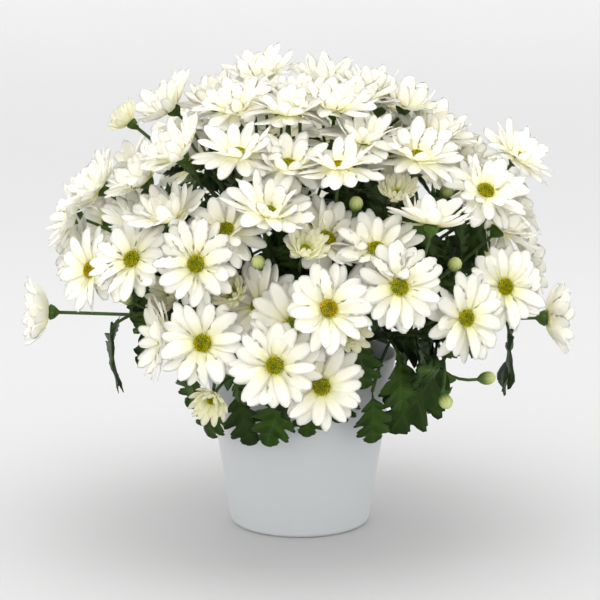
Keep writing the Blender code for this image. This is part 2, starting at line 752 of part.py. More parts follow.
def add_stalk(head, heads, group, space):
    """A head on its stalk, which leaves its branch and arrives along the head's axis. Where it
    would cross something else its middle moves aside."""
    start = on_line(head["branch"]["points"], head["leaves_at"])
    end = head["point"] + head["face"] * HEAD_RINGS[head["kind"]][0][1]
    reach = (end - start).length
    aside = head["face"].orthogonal().normalized()
    tries = [(0.0, 0.0)] + [(far, k * TURN / 8) for far in STALK_DETOURS for k in range(8)]
    own = {head["name"], head["branch"]["name"]}
    for allowed in (own, own | same_plant(head["plant"], heads)):
        for far, turn in tries:
            push = Matrix.Rotation(turn, 3, head["face"]) @ aside * far
            middle = end - head["face"] * STALK_STRAIGHT * reach + push
            stalk = bend(start, middle, end, 3)
            room = stalk_room(stalk)
            if not space.touched(*room, allowed):
                space.add(head["stalk"], *room)
                shape = young_shape if head["kind"] == "young" else head_shape
                points, faces = shape(head, stalk[:-1])
                add_object(head["kind"], mesh_from(head["kind"], points, faces), group)
                return
    raise ValueError(f"no clear way for the stalk of {head['name']}")


def young_petals(head):
    """The open ring of a half-open bloom, in its place."""
    pitches = [math.radians(YOUNG_PITCH)] * YOUNG_PETALS
    lengths = [YOUNG_LENGTH * size for size in head["sizes"]]
    points, faces = ring_mesh(pitches, lengths, YOUNG_HOLE)
    matrix = head["frame"] @ Matrix.Scale(YOUNG_SCALE, 4)
    return [matrix @ Vector(point) for point in points], faces


def young_shape(head, stalk):
    """A half-open bloom in one piece: a disc and a stalk that grow out of the ring's hole."""
    points, faces = young_petals(head)
    half = YOUNG_PETALS // 2
    low = points[YOUNG_PETALS + half:YOUNG_PETALS + 2 * half]
    middle = sum(low, Vector()) / half
    path = [middle, *(head["point"] + head["face"] * HEAD_RINGS["young"][0][1], *stalk[::-1])]
    radii = [(low[0] - middle).length] + [STALK_RADIUS] * (len(path) - 2)
    stem, stem_faces = loft(path, radii, half, (low[0] - middle).normalized())
    shift = len(points) - half
    joined = [YOUNG_PETALS + half + (-k) % half for k in range(half)]
    points += [Vector(point) for point in stem[half:]] + [head["point"] + head["face"] * YOUNG_DISC]
    for face in stem_faces[1:]:
        faces.append(tuple(joined[k] if k < half else shift + k for k in face))
    for k in range(half):
        faces.append((YOUNG_PETALS + k, YOUNG_PETALS + (k + 1) % half, len(points) - 1))
    return points, faces


def choose_petal(head, k, joined, space):
    """The pitch and length nearest to the natural ones that leave the petal clear of all but
    its own head and the petals that it may cross."""
    inner = k % 2 and head["petals"] > OTHER_PETALS
    natural = head["cup"] + (INNER_RAISE if inner else 0.0) + draw.uniform(-4.0, 4.0)
    full = (BLOOM_RADIUS - HINGE_RADIUS) * (INNER_LENGTH if inner else 1.0)
    full *= draw.uniform(0.96, 1.04)
    matrix = np.array(head["frame"])
    turn = k * TURN / head["petals"]
    for size in PETAL_SIZES:
        for change in PETAL_BENDS:
            pitch = math.radians(min(max(natural + change, PETAL_PITCHES[0]), PETAL_PITCHES[1]))
            points, faces = petal_shell(turn, head["petals"], pitch, full * size)
            points = points @ matrix[:3, :3].T + matrix[:3, 3]
            if not space.touched(points, faces, (head["name"], *joined)):
                space.add(head["name"] + "_petals", points, faces)
                return pitch, full * size
    raise ValueError(f"no room for petal {k} of {head['node']}")


def add_blooms(heads, group, space, material):
    """The petal rings: one node a bloom, and one a spray, where each ring crosses the first
    earlier one that it reaches."""
    nodes = {}
    for head in heads:
        nodes.setdefault(head["node"], []).append(head)
    for node, members in nodes.items():
        pieces = new_collection(f"{node}_pieces")
        for place, head in enumerate(members):
            near = reached(head["point"], members[:place])[:1]
            joined = [other["name"] + "_petals" for other in (head, *near)]
            chosen = [choose_petal(head, k, joined, space) for k in range(head["petals"])]
            points, faces = ring_mesh(*zip(*chosen), RING_HOLE)
            faces += hole_wall(head["petals"])
            ring = add_object(f"{node}_ring", mesh_from(node, points, faces), pieces)
            ring.matrix_world = head["frame"]
        finish(union(node, pieces, group), material)


def leaf_on(base, tip, outward, swing, dip):
    """A leaf's matrix: its rib from base to tip, swung and dipped a little, face outward."""
    ahead = (tip - base).normalized()
    across = outward.cross(ahead).normalized()
    ahead = Matrix.Rotation(math.radians(swing), 3, outward) @ ahead
    ahead = Matrix.Rotation(math.radians(dip), 3, across) @ ahead
    side = outward.cross(ahead).normalized()
    matrix = Matrix((ahead, side, ahead.cross(side))).transposed().to_4x4()
    matrix.translation = base
    return matrix


def add_leaf(base, tip, outward, branch, group, space):
    """A leaf from its base towards its tip, turned and shortened until it is clear of all but
    its own branch. Gives its name, or None where nothing is clear."""
    reach = (tip - base).length
    name = f"leaf_{len(space.owners)}"
    for size in LEAF_SIZES:
        points, faces = leaf_mesh(reach * size)
        for swing in LEAF_SWINGS:
            for dip in LEAF_DIPS:
                matrix = leaf_on(base, tip, outward, swing, dip)
                placed = [matrix @ Vector(point) for point in points]
                if not space.touched(placed, faces, (branch["name"],)):
                    leaf = add_object("leaf", mesh_from("leaf", points, faces), group)
                    leaf.matrix_world = matrix
                    space.add(name, placed, faces)
                    return name
    return None


def add_branch_leaves(branches, groups, space):
    for j, branch in enumerate(branches):
        points = branch["points"]
        ahead = (points[-1] - points[0]).normalized()
        flat = Vector((ahead.x, ahead.y, 0.0)).normalized()
        for place, share in enumerate(LEAVES_A_BRANCH[j % 2]):
            base = on_line(points, share)
            aside = ahead.cross(UP).normalized() * (1 if (place + j // 2) % 2 else -1)
            way = (aside + 0.3 * ahead + 0.4 * UP).normalized()
            tip = base + way * LEAF_LENGTH * draw.uniform(0.85, 1.05)
            outward = (0.7 * UP + flat).normalized()
            add_leaf(base, tip, outward, branch, groups[branch["plant"]], space)


def on_column(across, up, radius):
    """Where a line of sight meets an upright column round the pot, or passes nearest to it."""
    way = np.array(sight(across, up))
    points = np.array(VIEWER) + np.linspace(1.1, 1.6, 2001)[:, None] * way
    aside = np.hypot(points[:, 0], points[:, 1])
    inside = np.nonzero(aside <= radius)[0]
    return Vector(points[inside[0] if len(inside) else int(aside.argmin())])


def hanging_places():
    """Base, tip and face direction of each hanging leaf."""
    places = []
    for base_across, base_up, tip_across, tip_up, radius, turn in HANGING_LEAVES:
        base = on_column(base_across, base_up, radius)
        tip = on_column(tip_across, tip_up, radius)
        places.append((base, tip, facing(turn, 5)))
    for turn in BACK_LEAF_TURNS:
        outward = facing(turn + draw.uniform(-5.0, 5.0), 0)
        out = outward * BACK_LEAF_RADIUS
        drop = draw.uniform(-0.008, 0.008)
        places.append((out + UP * BACK_LEAF_TOP, out + UP * (BACK_LEAF_BOTTOM + drop), outward))
    return places


def add_hanging_leaves(branches, groups, space):
    """Leaves round the skirt, each on a stalk from the nearest branch that it can reach."""
    for base, tip, outward in hanging_places():
        starts = sorted(
            ((on_line(branch["points"], share) - base).length, place, share)
            for place, branch in enumerate(branches) for share in LEAF_STALKS_FROM)
        for _, place, share in starts[:8]:
            branch = branches[place]
            start = on_line(branch["points"], share)
            bow = start.lerp(base, 0.5) + UP * LEAF_STALK_BOW
            path = bend(start, bow, base + (tip - base) * 0.06, 3)
            room = stalk_room(path)
            if space.touched(*room, (branch["name"],)):
                continue
            group = groups[branch["plant"]]
            name = add_leaf(base, tip, outward, branch, group, space)
            if name:
                tube("leaf_stalk", path, STALK_RADIUS, group)
                space.add(name, *room)
                break


def main():
    clear_scene()
    home = new_collection("potted_chrysanthemum")
    cutters = new_collection("cutters")
    white = new_material("petal_white", WHITE, 0.6)
    green = new_material("leaf_green", LEAF_GREEN, 0.55)
    pot = add_pot(home, new_material("pot_white", POT_WHITE, 0.4))
    add_soil(home, cutters, new_material("soil_brown", SOIL_BROWN, 0.95))

    heads = all_heads()
    settle_layers(heads)
    space = Space()
    space.add_object("pot", pot)
    groups = [new_collection(f"plant_{k + 1}_pieces") for k in range(PLANTS)]
    branches = []
    for k, group in enumerate(groups):
        start = add_main_stem(k, group, space)
        branches += add_branches(k, start, heads, group, space)
    space.add_heads(heads)
    for head in heads:
        if head["kind"] == "young":
            space.add(head["name"], *young_petals(head))
    for head in heads:
        add_stalk(head, heads, groups[head["plant"]], space)
    add_blooms([head for head in heads if head["kind"] == "bloom"], home, space, white)
    add_hanging_leaves(branches, groups, space)
    add_branch_leaves(branches, groups, space)
    for k, group in enumerate(groups):
        finish(union(f"plant_{k + 1}", group, home), green)


main()
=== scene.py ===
import math
import random

import bpy
import numpy as np
from mathutils import Matrix, Vector


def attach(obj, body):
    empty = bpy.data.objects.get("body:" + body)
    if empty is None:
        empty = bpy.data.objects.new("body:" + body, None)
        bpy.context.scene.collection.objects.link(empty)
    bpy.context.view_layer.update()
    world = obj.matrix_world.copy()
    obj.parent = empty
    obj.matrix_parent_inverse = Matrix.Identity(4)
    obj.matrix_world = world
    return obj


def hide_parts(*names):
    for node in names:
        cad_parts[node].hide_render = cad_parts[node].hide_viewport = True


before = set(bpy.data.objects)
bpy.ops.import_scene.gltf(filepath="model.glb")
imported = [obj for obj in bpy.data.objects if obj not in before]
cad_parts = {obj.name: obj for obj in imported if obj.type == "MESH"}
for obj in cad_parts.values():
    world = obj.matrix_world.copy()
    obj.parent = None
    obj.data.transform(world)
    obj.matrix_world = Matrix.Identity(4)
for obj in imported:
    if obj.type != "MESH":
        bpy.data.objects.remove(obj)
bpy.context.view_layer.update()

fullTurn = 2.0 * math.pi
up = Vector((0.0, 0.0, 1.0))
goldenTurn = math.radians(137.508)  # between one floret of a disc and the next

camera = {
    "place": (0.0, -1.43, 0.437),
    "pitch": 10.1,  # degrees below level
    "lens": 108.0,
    "sensor": 36.0,
    "steps": 1800.0,  # a step in the view is the distance over this
    "domeSpan": (1.1, 1.8, 1401),  # nearest and furthest place looked at, and how many
    "columnSpan": (1.1, 1.6, 2001),
}

# The bed of soil, which the stems stand in
soil = {
    "top": 0.128,
    "gap": 0.0003,
    "roughness": 0.95,
    "brown": ((0.3, (0.010, 0.006, 0.004)), (0.55, (0.035, 0.020, 0.012)),
              (0.8, (0.085, 0.052, 0.030))),
    "grainScale": 260.0,
    "reliefScale": 700.0,
    "relief": (0.8, 0.001),
    "sides": 64,
    "rings": 18,
    "edge": 0.001,
    "unevenness": 0.0012,
    "crumbs": 420,
    "crumbSize": (0.0009, 0.0028),
    "crumbSides": 6,
    "crumbRadii": (0.6, 1.0, 0.7),  # radius and height of a crumb's rings, in its size
    "crumbHeights": (-0.5, 0.1, 0.6),
    "crumbMargin": 0.004,
    "lightFrom": 0.93,  # crumbs with a tone above this are pale
    "light": (0.45, 0.42, 0.36),
}

# The rounded shape that the blooms stand on
dome = {
    "middle": 0.165,
    "halfWidth": 0.186,
    "rise": 0.182,
    "drop": 0.095,
    "power": 2.6,
    "smallHeads": 0.97,  # half-open blooms and buds stand on a dome of this size
}

plants = {
    "count": 5,
    "ring": 0.036,
    "mainRadius": 0.0034,
    "mainRise": 0.014,
    "mainDepth": 0.0217,
    "branchRadius": 0.0019,
    "branchReach": 0.64,
    "branchLowest": 0.156,
    "branchBow": 0.25,
    "branchTurn": 0.4,  # how far along a branch its bow is
    "branchPoints": 4,
    "rootDepth": 0.004,
    "headsABranch": 5,
    "stalksFrom": 0.7,
    "stalksTo": 0.97,
    "stalkRadius": 0.0012,
    "stalkStraight": 0.45,
    "stalkDetours": (0.010, 0.020, 0.030),
    "detourTurns": 8,
}

# Open blooms: steps across and up in the front view, turn and lift of the face, and cup of
# the petals, in degrees
blooms = (
    (-97, -43, -8, 12, 4), (-25, -65, -5, 6, 4), (99, 13, 10, 15, 4), (23, -91, 3, 2, 4),
    (-103, 36, -20, 12, 4), (165, -18, 30, 8, 6), (-167, 40, -30, 30, 6), (185, 108, 22, 42, 6),
    (-80, 73, -15, 50, 4), (-63, 145, -10, 70, 10), (-13, 144, 4, 62, 8), (-7, -27, 0, 25, 8),
    (82, 52, 5, 50, 8), (204, 13, 25, 15, 8), (-208, 30, -45, 15, 8), (28, -9, 15, 20, 14),
    (-46, -9, -25, 30, 14), (-145, -40, -70, 5, 16),
    (-251, -12, -78, 4, 42), (246, -18, 92, 0, 40), (-32, 86, 20, 60, 32), (131, 74, 150, 74, 30),
    (30, 68, 40, 45, 32), (212, 75, 85, 45, 32), (222, 38, 95, 28, 34), (-128, 192, -70, 45, 40),
    (-120, 145, -60, 50, 40), (-165, 128, -70, 45, 34), (-200, 112, -70, 35, 32),
    (-225, 84, -75, 22, 28), (-180, 88, -30, 70, 40), (-140, 86, -40, 62, 38),
    (-232, 58, -75, 14, 26), (217, 142, 60, 48, 20), (-88, 210, -60, 62, 34),
    (-38, 222, -30, 74, 34), (34, 190, 10, 76, 28), (26, 218, 60, 82, 36), (70, 222, 70, 76, 36),
    (68, 170, 10, 70, 26), (104, 194, 60, 72, 32), (142, 178, 50, 62, 28), (182, 162, 60, 56, 28),
    (38, 132, 5, 76, 12), (118, 142, 20, 60, 24), (-64, 190, -30, 66, 22), (98, 166, 20, 66, 20),
)
frontBlooms = 18
broadPetals = (8, 6)  # how many a bloom has in the solids, in front and elsewhere

# Sprays of up to seven blooms round the back and on top: turn from the front, height, and roll
sprays = (
    (110, 0.235, -30), (-115, 0.235, -10), (172, 0.190, -10), (148, 0.308, -10),
    (-155, 0.308, 10), (0, 0.346, 20),
)
sprayPlaces = (
    (0.0, 0.0), (1.0, 0.0), (0.5, 0.866), (-0.5, 0.866), (-1.0, 0.0), (-0.5, -0.866),
    (0.5, -0.866),
)
spray = {
    "step": 0.050,
    "reach": 0.058,
    "room": {"bloom": 0.034, "young": 0.028, "bud": 0.028},
    "lowest": 0.190,
    "cup": 14,
}

# Half-open blooms and buds: steps across and up, turn and lift
youngBlooms = (
    (-10, 110, 0, 55), (103, 113, 10, 50), (5, 50, 15, 40), (-73, 7, -20, 25), (52, -35, 10, 12),
    (-88, -99, -15, -20), (-148, 2, -45, 20), (-170, 178, -80, 40), (115, 190, 20, 66),
    (-12, 214, 0, 70),
)
buds = (
    (157, 118, 25, 45), (-42, 38, -10, 30), (155, 36, 20, 30), (188, -78, 80, 10),
    (146, -102, 20, -30), (-186, 2, -40, 30), (60, 104, 10, 50),
)

# How a petal is placed and sized, and the changes tried until it is clear of its neighbours
petalPlan = {
    "bloomRadius": 0.033,
    "hinge": 0.0088,
    "halfWidth": 0.0070,
    "crown": 0.0013,
    "widest": 0.55,
    "ridge": 0.35,
    "tip": 0.5,
    "crowding": 0.44,  # the most that a petal takes of its share of the turn
    "innerRaise": 9,
    "innerLength": 0.93,
    "pitchDraw": (-4.0, 4.0),
    "lengthDraw": (0.96, 1.04),
    "youngPetals": 6,
    "youngDraw": (0.92, 1.08),
    "sizes": (1.0, 0.85, 0.7, 0.55, 0.42, 0.32, 0.24, 0.16, 0.1),
    "pitches": (-46.0, 50.0),
    "bends": (0, 6, -6, 12, -12, 18, -18, 24, -24, 32, -32, 40, -40, 50, -50, 60, -60),
}

# Crowded heads sink into deeper layers
layers = {"count": 4, "step": 0.011, "reach": 0.047, "smallReach": 0.7}
headRings = {"bloom": -0.0085, "young": -0.0085, "bud": -0.0080}  # where a stalk ends

# How well the solids' corners have to fit: distance to a corner, to a stalk's ring, the radii
# between which a leaf stalk's ring lies, and how many corners have to be there
fit = {"corner": 0.00003, "ring": 0.00002, "leafRing": (0.00115, 0.0015), "least": 2}

# Hanging leaves: steps across and up of base and tip, radius of the upright column that they
# hang on, and turn of the face
hangingLeaves = (
    (-105, -62, -116, -112, 0.104, -35), (-86, -88, -96, -142, 0.098, -25),
    (-66, -86, -50, -148, 0.096, -10), (-14, -86, -36, -150, 0.098, -5),
    (14, -84, 6, -140, 0.094, 0), (72, -88, 77, -148, 0.100, 15), (98, -50, 106, -118, 0.108, 20),
    (152, -46, 116, -132, 0.126, 25), (165, -54, 186, -92, 0.142, 55),
    (206, -20, 226, -60, 0.182, 75), (-188, -22, -198, -90, 0.162, -70),
    (190, 92, 160, 52, 0.150, 40), (46, -78, 42, -134, 0.094, 8), (58, -32, 66, -94, 0.106, 5),
    (128, -60, 146, -116, 0.108, 30),
)
leafPlan = {
    "length": 0.068,
    "droop": 0.22,
    "fold": 0.25,
    "sizes": (1.0, 0.85, 0.72, 0.6),
    "swings": (0, 12, -12, 24, -24, 36, -36, 50, -50),
    "dips": (0, 14, -14, 28),
    "lobes": (  # places of the tip and the lobes on a leaf of length 1
        (1.0, 0.0), (0.78, 0.39), (0.78, -0.39), (0.44, 0.35), (0.44, -0.35), (0.24, 0.21),
        (0.24, -0.21),
    ),
    "near": 1.3,  # in a leaf's length: how far from its base its corners are looked for
    "faceLift": 5,
    "stalksFrom": (0.4, 0.6, 0.8),
    "stalkTries": 8,
    "stalkBow": 0.012,
    "stalkInto": 0.06,
    "aBranch": ((0.5, 0.92), (0.75,)),
    "lengthDraw": (0.85, 1.05),
    "ahead": 0.3,  # how much a leaf on a branch points along it, and up
    "upward": 0.4,
    "faceUp": 0.7,
    "backTurns": (84, 112, 138, 164, 190, 216, 242, 270),
    "backTurnDraw": (-5.0, 5.0),
    "backRadius": 0.098,
    "backTop": 0.166,
    "backBottom": 0.118,
    "backDraw": (-0.008, 0.008),
}

draw = random.Random(24)  # repeats the solids' own choices
chance = np.random.default_rng(11)  # for what only the finer pieces have


def sight(across, above):
    # The direction from the viewer through a place in the front view.
    pitch = math.radians(camera["pitch"])
    ahead = Vector((0.0, math.cos(pitch), -math.sin(pitch)))
    upright = Vector((0.0, math.sin(pitch), math.cos(pitch)))
    return (ahead * camera["steps"] + Vector((across, 0.0, 0.0)) + upright * above).normalized()


def domeDepth(points, share=1.0):
    # Below 1 inside the dome: the sum of aside and height, each over the dome's, to a power.
    aside = np.hypot(points[:, 0], points[:, 1]) / (dome["halfWidth"] * share)
    height = points[:, 2] - dome["middle"]
    tall = np.where(height > 0.0, dome["rise"], dome["drop"]) * share
    return aside ** dome["power"] + np.abs(height / tall) ** dome["power"]


def alongSight(across, above, span):
    # Points along a line of sight.
    way = np.array(sight(across, above))
    return np.array(Vector(camera["place"])) + np.linspace(*span)[:, None] * way


def firstInside(points, values, limit):
    # The first point whose value is within the limit, or else the one that comes nearest.
    inside = np.nonzero(values <= limit)[0]
    return Vector(points[inside[0] if len(inside) else int(values.argmin())])


def onDome(across, above, share=1.0):
    # Where a line of sight meets the dome, or passes nearest to it.
    points = alongSight(across, above, camera["domeSpan"])
    return firstInside(points, domeDepth(points, share), 1.0)


def onColumn(across, above, radius):
    # Where a line of sight meets an upright column round the pot, or passes nearest to it.
    points = alongSight(across, above, camera["columnSpan"])
    return firstInside(points, np.hypot(points[:, 0], points[:, 1]), radius)


def domeOutward(point):
    # The direction straight out of the dome, from the depth's change along x, y and z.
    step = 0.001
    around = np.array(point) + step * np.vstack([np.eye(3), -np.eye(3)])
    depth = domeDepth(around)
    return Vector(depth[:3] - depth[3:]).normalized()


def facing(turn, lift):
    # A direction from its turn to the right of the front and its lift, in degrees.
    turn, lift = math.radians(turn), math.radians(lift)
    aside = math.cos(lift)
    return Vector((math.sin(turn) * aside, -math.cos(turn) * aside, math.sin(lift)))


def frameOn(point, face, roll=0.0):
    # A matrix at the point with its Z along the face direction, turned by the roll.
    matrix = face.to_track_quat("Z", "Y").to_matrix().to_4x4()
    return Matrix.Translation(point) @ matrix @ Matrix.Rotation(roll, 4, "Z")


def bendAt(start, middle, end, t):
    # The point at t on the quadratic curve from start to end, drawn towards the middle.
    return start * (1 - t) ** 2 + middle * 2 * t * (1 - t) + end * t * t


def onLine(points, share):
    # The point at a share of the way along a line of points.
    place = share * (len(points) - 1)
    k = min(int(place), len(points) - 2)
    return points[k].lerp(points[k + 1], place - k)


def corners(name):
    # The corner points of a solid, each once.
    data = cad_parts[name].data
    points = np.empty(3 * len(data.vertices))
    data.vertices.foreach_get("co", points)
    return np.unique(points.reshape(-1, 3).round(6), axis=0)


def onCorners(points, solid):
    # How many points of each set lie on a corner of the solid.
    gaps = np.linalg.norm(points[..., None, :] - solid, axis=-1)
    return (gaps.min(axis=-1) < fit["corner"]).sum(axis=-1)


def ontoDome(point):
    # The dome's surface straight out from its middle, through a point.
    middle = up * dome["middle"]
    depth = domeDepth(np.array(point)[None])[0]
    return middle + (point - middle) * depth ** (-1.0 / dome["power"])


def nearest(point, others):
    # The distance to the nearest of the other heads.
    return min(((point - other["point"]).length for other in others), default=1.0)


def sprayHeads(earlier):
    # Sprays of blooms, clear of the earlier heads, each bloom within reach of one before it.
    heads = []
    for k, (turn, height, roll) in enumerate(sprays):
        share = 1.0 - abs((height - dome["middle"]) / dome["rise"]) ** dome["power"]
        middle = facing(turn, 0) * dome["halfWidth"] * share ** (1.0 / dome["power"]) + up * height
        spread = frameOn(middle, domeOutward(middle), math.radians(roll)).to_3x3()
        members = []
        for across, above in sprayPlaces:
            point = ontoDome(middle + spread @ Vector((across, above, 0.0)) * spray["step"])
            crowded = any(
                (point - other["point"]).length < spray["room"][other["kind"]]
                for other in earlier + heads + members)
            apart = members and nearest(point, members) >= spray["reach"]
            if point.z < spray["lowest"] or crowded or apart:
                continue
            members.append({
                "kind": "bloom", "node": f"spray_{k + 1:02d}", "point": point,
                "face": domeOutward(point), "cup": spray["cup"], "petals": broadPetals[1],
                "layer": 0, "first": spread.col[0],
            })
        heads += members
    return heads


def allHeads():
    # Every bloom, half-open bloom and bud: its place, face, node and plant.
    heads = []
    for k, (across, above, turn, lift, cup) in enumerate(blooms):
        heads.append({
            "kind": "bloom", "node": f"bloom_{k + 1:02d}", "point": onDome(across, above),
            "face": facing(turn, lift), "cup": cup,
            "petals": broadPetals[0] if k < frontBlooms else broadPetals[1],
        })
    small = []
    for kind, table in (("young", youngBlooms), ("bud", buds)):
        for across, above, turn, lift in table:
            point = onDome(across, above, dome["smallHeads"])
            small.append({"kind": kind, "point": point, "face": facing(turn, lift)})
    heads += sprayHeads(heads + small) + small
    for head in heads:
        head["roll"] = draw.uniform(0.0, fullTurn)
        count = petalPlan["youngPetals"]
        head["sizes"] = [draw.uniform(*petalPlan["youngDraw"]) for _ in range(count)]
        turn = math.atan2(head["point"].x, -head["point"].y) / fullTurn
        head["plant"] = round(turn * plants["count"]) % plants["count"]
    return heads


def settleLayers(heads):
    # Heads that would lie in one another sit in deeper layers, later ones below earlier.
    for k, head in enumerate(heads):
        if "layer" not in head:
            reach = layers["reach"] * (1.0 if head["kind"] == "bloom" else layers["smallReach"])
            near = [
                other for other in heads[:k] if (other["point"] - head["point"]).length < reach]
            taken = {other["layer"] for other in near}
            head["layer"] = min(
                set(range(layers["count"])) - taken, default=layers["count"] - 1)
    for head in heads:
        inward = domeOutward(head["point"]) * layers["step"] * head["layer"]
        head["point"] = head["point"] - inward
        head["frame"] = frameOn(head["point"], head["face"], head["roll"])
        if "first" in head:
            aside = head["face"].cross(head["first"]).normalized()
            axes = Matrix((aside.cross(head["face"]), aside, head["face"])).transposed()
            head["frame"] = Matrix.Translation(head["point"]) @ axes.to_4x4()


def plantFoot(k):
    # Where a plant's main stem leaves the soil.
    return facing(360.0 * k / plants["count"], 0) * plants["ring"] + up * soil["top"]


def findBranches(k, heads):
    # The branches of a plant, each from its main stem towards a few heads of like height.
    start = plantFoot(k) + up * plants["mainRise"]
    own = sorted((head for head in heads if head["plant"] == k), key=lambda head: head["point"].z)
    count = math.ceil(len(own) / plants["headsABranch"])
    branches = []
    for j in range(count):
        share = own[len(own) * j // count:len(own) * (j + 1) // count]
        middle = sum((head["point"] for head in share), Vector()) / len(share)
        end = start.lerp(middle, plants["branchReach"])
        end.z = max(end.z, plants["branchLowest"])
        turn = start.lerp(end, plants["branchTurn"])
        turn = turn + up * plants["branchBow"] * (end - start).length
        ends = (start - up * plants["rootDepth"], turn, end)
        steps = plants["branchPoints"] - 1
        points = [bendAt(*ends, step / steps) for step in range(steps + 1)]
        branch = {"plant": k, "points": points, "ends": ends}
        branches.append(branch)
        for place, head in enumerate(share):
            head["branch"] = branch
            span = plants["stalksTo"] - plants["stalksFrom"]
            head["leavesAt"] = plants["stalksTo"] - span * place / len(share)
    return branches


def findStalk(head, solid):
    # The start, bend and end of a head's stalk: of the bends that the solids' rules try, the one
    # whose ring of corners is there.
    start = onLine(head["branch"]["points"], head["leavesAt"])
    end = head["point"] + head["face"] * headRings[head["kind"]]
    reach = (end - start).length
    aside = head["face"].orthogonal().normalized()
    tries = [(0.0, 0.0)]
    turns = [k * fullTurn / plants["detourTurns"] for k in range(plants["detourTurns"])]
    tries += [(far, turn) for far in plants["stalkDetours"] for turn in turns]
    middles = []
    for far, turn in tries:
        push = Matrix.Rotation(turn, 3, head["face"]) @ aside * far
        middles.append(end - head["face"] * plants["stalkStraight"] * reach + push)
    halfway = np.array([start * 0.25 + middle * 0.5 + end * 0.25 for middle in middles])
    away = np.linalg.norm(halfway[:, None] - solid, axis=-1)
    found = (np.abs(away - plants["stalkRadius"]) < fit["ring"]).sum(axis=-1)
    head["stalk"] = (start, middles[int(found.argmax())], end)
    return found.max()


def bladeCorners(turn, count, pitches, lengths):
    # The five corner points of a solid's broad petal, for each of many pitches and lengths.
    out = np.array((math.cos(turn), math.sin(turn), 0.0))
    aside = np.array((-math.sin(turn), math.cos(turn), 0.0))
    sign = np.where(pitches >= 0.0, 1.0, -1.0)[:, None]
    cosine, sine, lengths = np.cos(pitches)[:, None], np.sin(pitches)[:, None], lengths[:, None]
    along = out * cosine + np.array(up) * sine
    above = np.array(up) * cosine - out * sine
    root = out * petalPlan["hinge"] * math.cos(0.5 * fullTurn / count)
    radius = petalPlan["hinge"] + petalPlan["widest"] * lengths * cosine
    wide = np.minimum(petalPlan["halfWidth"], petalPlan["crowding"] * fullTurn * radius / count)
    tip = petalPlan["tip"] * wide
    return np.stack([
        root + along * petalPlan["widest"] * lengths - aside * wide,
        root + along * lengths - aside * tip,
        root + along * lengths + aside * tip,
        root + along * petalPlan["widest"] * lengths + aside * wide,
        root + along * petalPlan["ridge"] * lengths + above * petalPlan["crown"] * sign,
    ], axis=1)


def findPetals(head, solid):
    # Pitch and length of each broad petal: of the changes that the solids' rules try, the one
    # whose corners are there.
    matrix = np.array(head["frame"])
    sizes, bends = np.meshgrid(petalPlan["sizes"], petalPlan["bends"], indexing="ij")
    head["broad"] = []
    for k in range(head["petals"]):
        inner = k % 2 and head["petals"] > broadPetals[1]
        raised = petalPlan["innerRaise"] if inner else 0.0
        shorter = petalPlan["innerLength"] if inner else 1.0
        natural = head["cup"] + raised + draw.uniform(*petalPlan["pitchDraw"])
        full = (petalPlan["bloomRadius"] - petalPlan["hinge"]) * shorter
        full = full * draw.uniform(*petalPlan["lengthDraw"])
        pitches = np.radians(np.clip(natural + bends.ravel(), *petalPlan["pitches"]))
        lengths = full * sizes.ravel()
        blades = bladeCorners(k * fullTurn / head["petals"], head["petals"], pitches, lengths)
        found = onCorners(blades @ matrix[:3, :3].T + matrix[:3, 3], solid)
        best = int(found.argmax())
        head["broad"].append((
            math.degrees(pitches[best]) - raised, lengths[best] / shorter, found[best]))


def leafAxes(base, ahead, outward):
    # A matrix at a leaf's base, with X along its rib and Z out of its face.
    side = outward.cross(ahead).normalized()
    matrix = Matrix((ahead, side, ahead.cross(side))).transposed().to_4x4()
    matrix.translation = base
    return matrix


def leafOn(base, tip, outward, swing, dip):
    # A leaf's matrix: its rib from base to tip, swung and dipped a little, face outward.
    ahead = (tip - base).normalized()
    across = outward.cross(ahead).normalized()
    ahead = Matrix.Rotation(math.radians(swing), 3, outward) @ ahead
    ahead = Matrix.Rotation(math.radians(dip), 3, across) @ ahead
    return leafAxes(base, ahead, outward)


def findLeaf(base, tip, outward, solid):
    # The size and matrix of a leaf, of those that the solids' rules try, whose tip and lobes are
    # there, or None.
    reach = (tip - base).length
    lobes = np.array(leafPlan["lobes"])
    droop = -leafPlan["droop"] * lobes[:, 0] ** 2
    fold = leafPlan["fold"] * np.abs(lobes[:, 1]) * (1.0 - lobes[:, 0])
    form = np.column_stack([lobes, droop + fold, np.full(len(lobes), 1.0)])
    near = solid[np.linalg.norm(solid - np.array(base), axis=1) < leafPlan["near"] * reach]
    if not len(near):
        return None
    best, chosen = fit["least"], None
    for size in leafPlan["sizes"]:
        scaled = form * (*[reach * size] * 3, 1.0)
        matrices = [
            leafOn(base, tip, outward, swing, dip)
            for swing in leafPlan["swings"] for dip in leafPlan["dips"]]
        placed = np.einsum("mij,kj->mki", np.array(matrices), scaled)[..., :3]
        found = onCorners(placed, near)
        if found.max() > best:
            best = found.max()
            chosen = (reach * size, matrices[int(found.argmax())])
    return chosen


def hangingPlaces():
    # Base, tip and face direction of each hanging leaf.
    places = []
    for baseAcross, baseAbove, tipAcross, tipAbove, radius, turn in hangingLeaves:
        base = onColumn(baseAcross, baseAbove, radius)
        tip = onColumn(tipAcross, tipAbove, radius)
        places.append((base, tip, facing(turn, leafPlan["faceLift"])))
    for turn in leafPlan["backTurns"]:
        outward = facing(turn + draw.uniform(*leafPlan["backTurnDraw"]), 0)
        out = outward * leafPlan["backRadius"]
        low = leafPlan["backBottom"] + draw.uniform(*leafPlan["backDraw"])
        places.append((out + up * leafPlan["backTop"], out + up * low, outward))
    return places


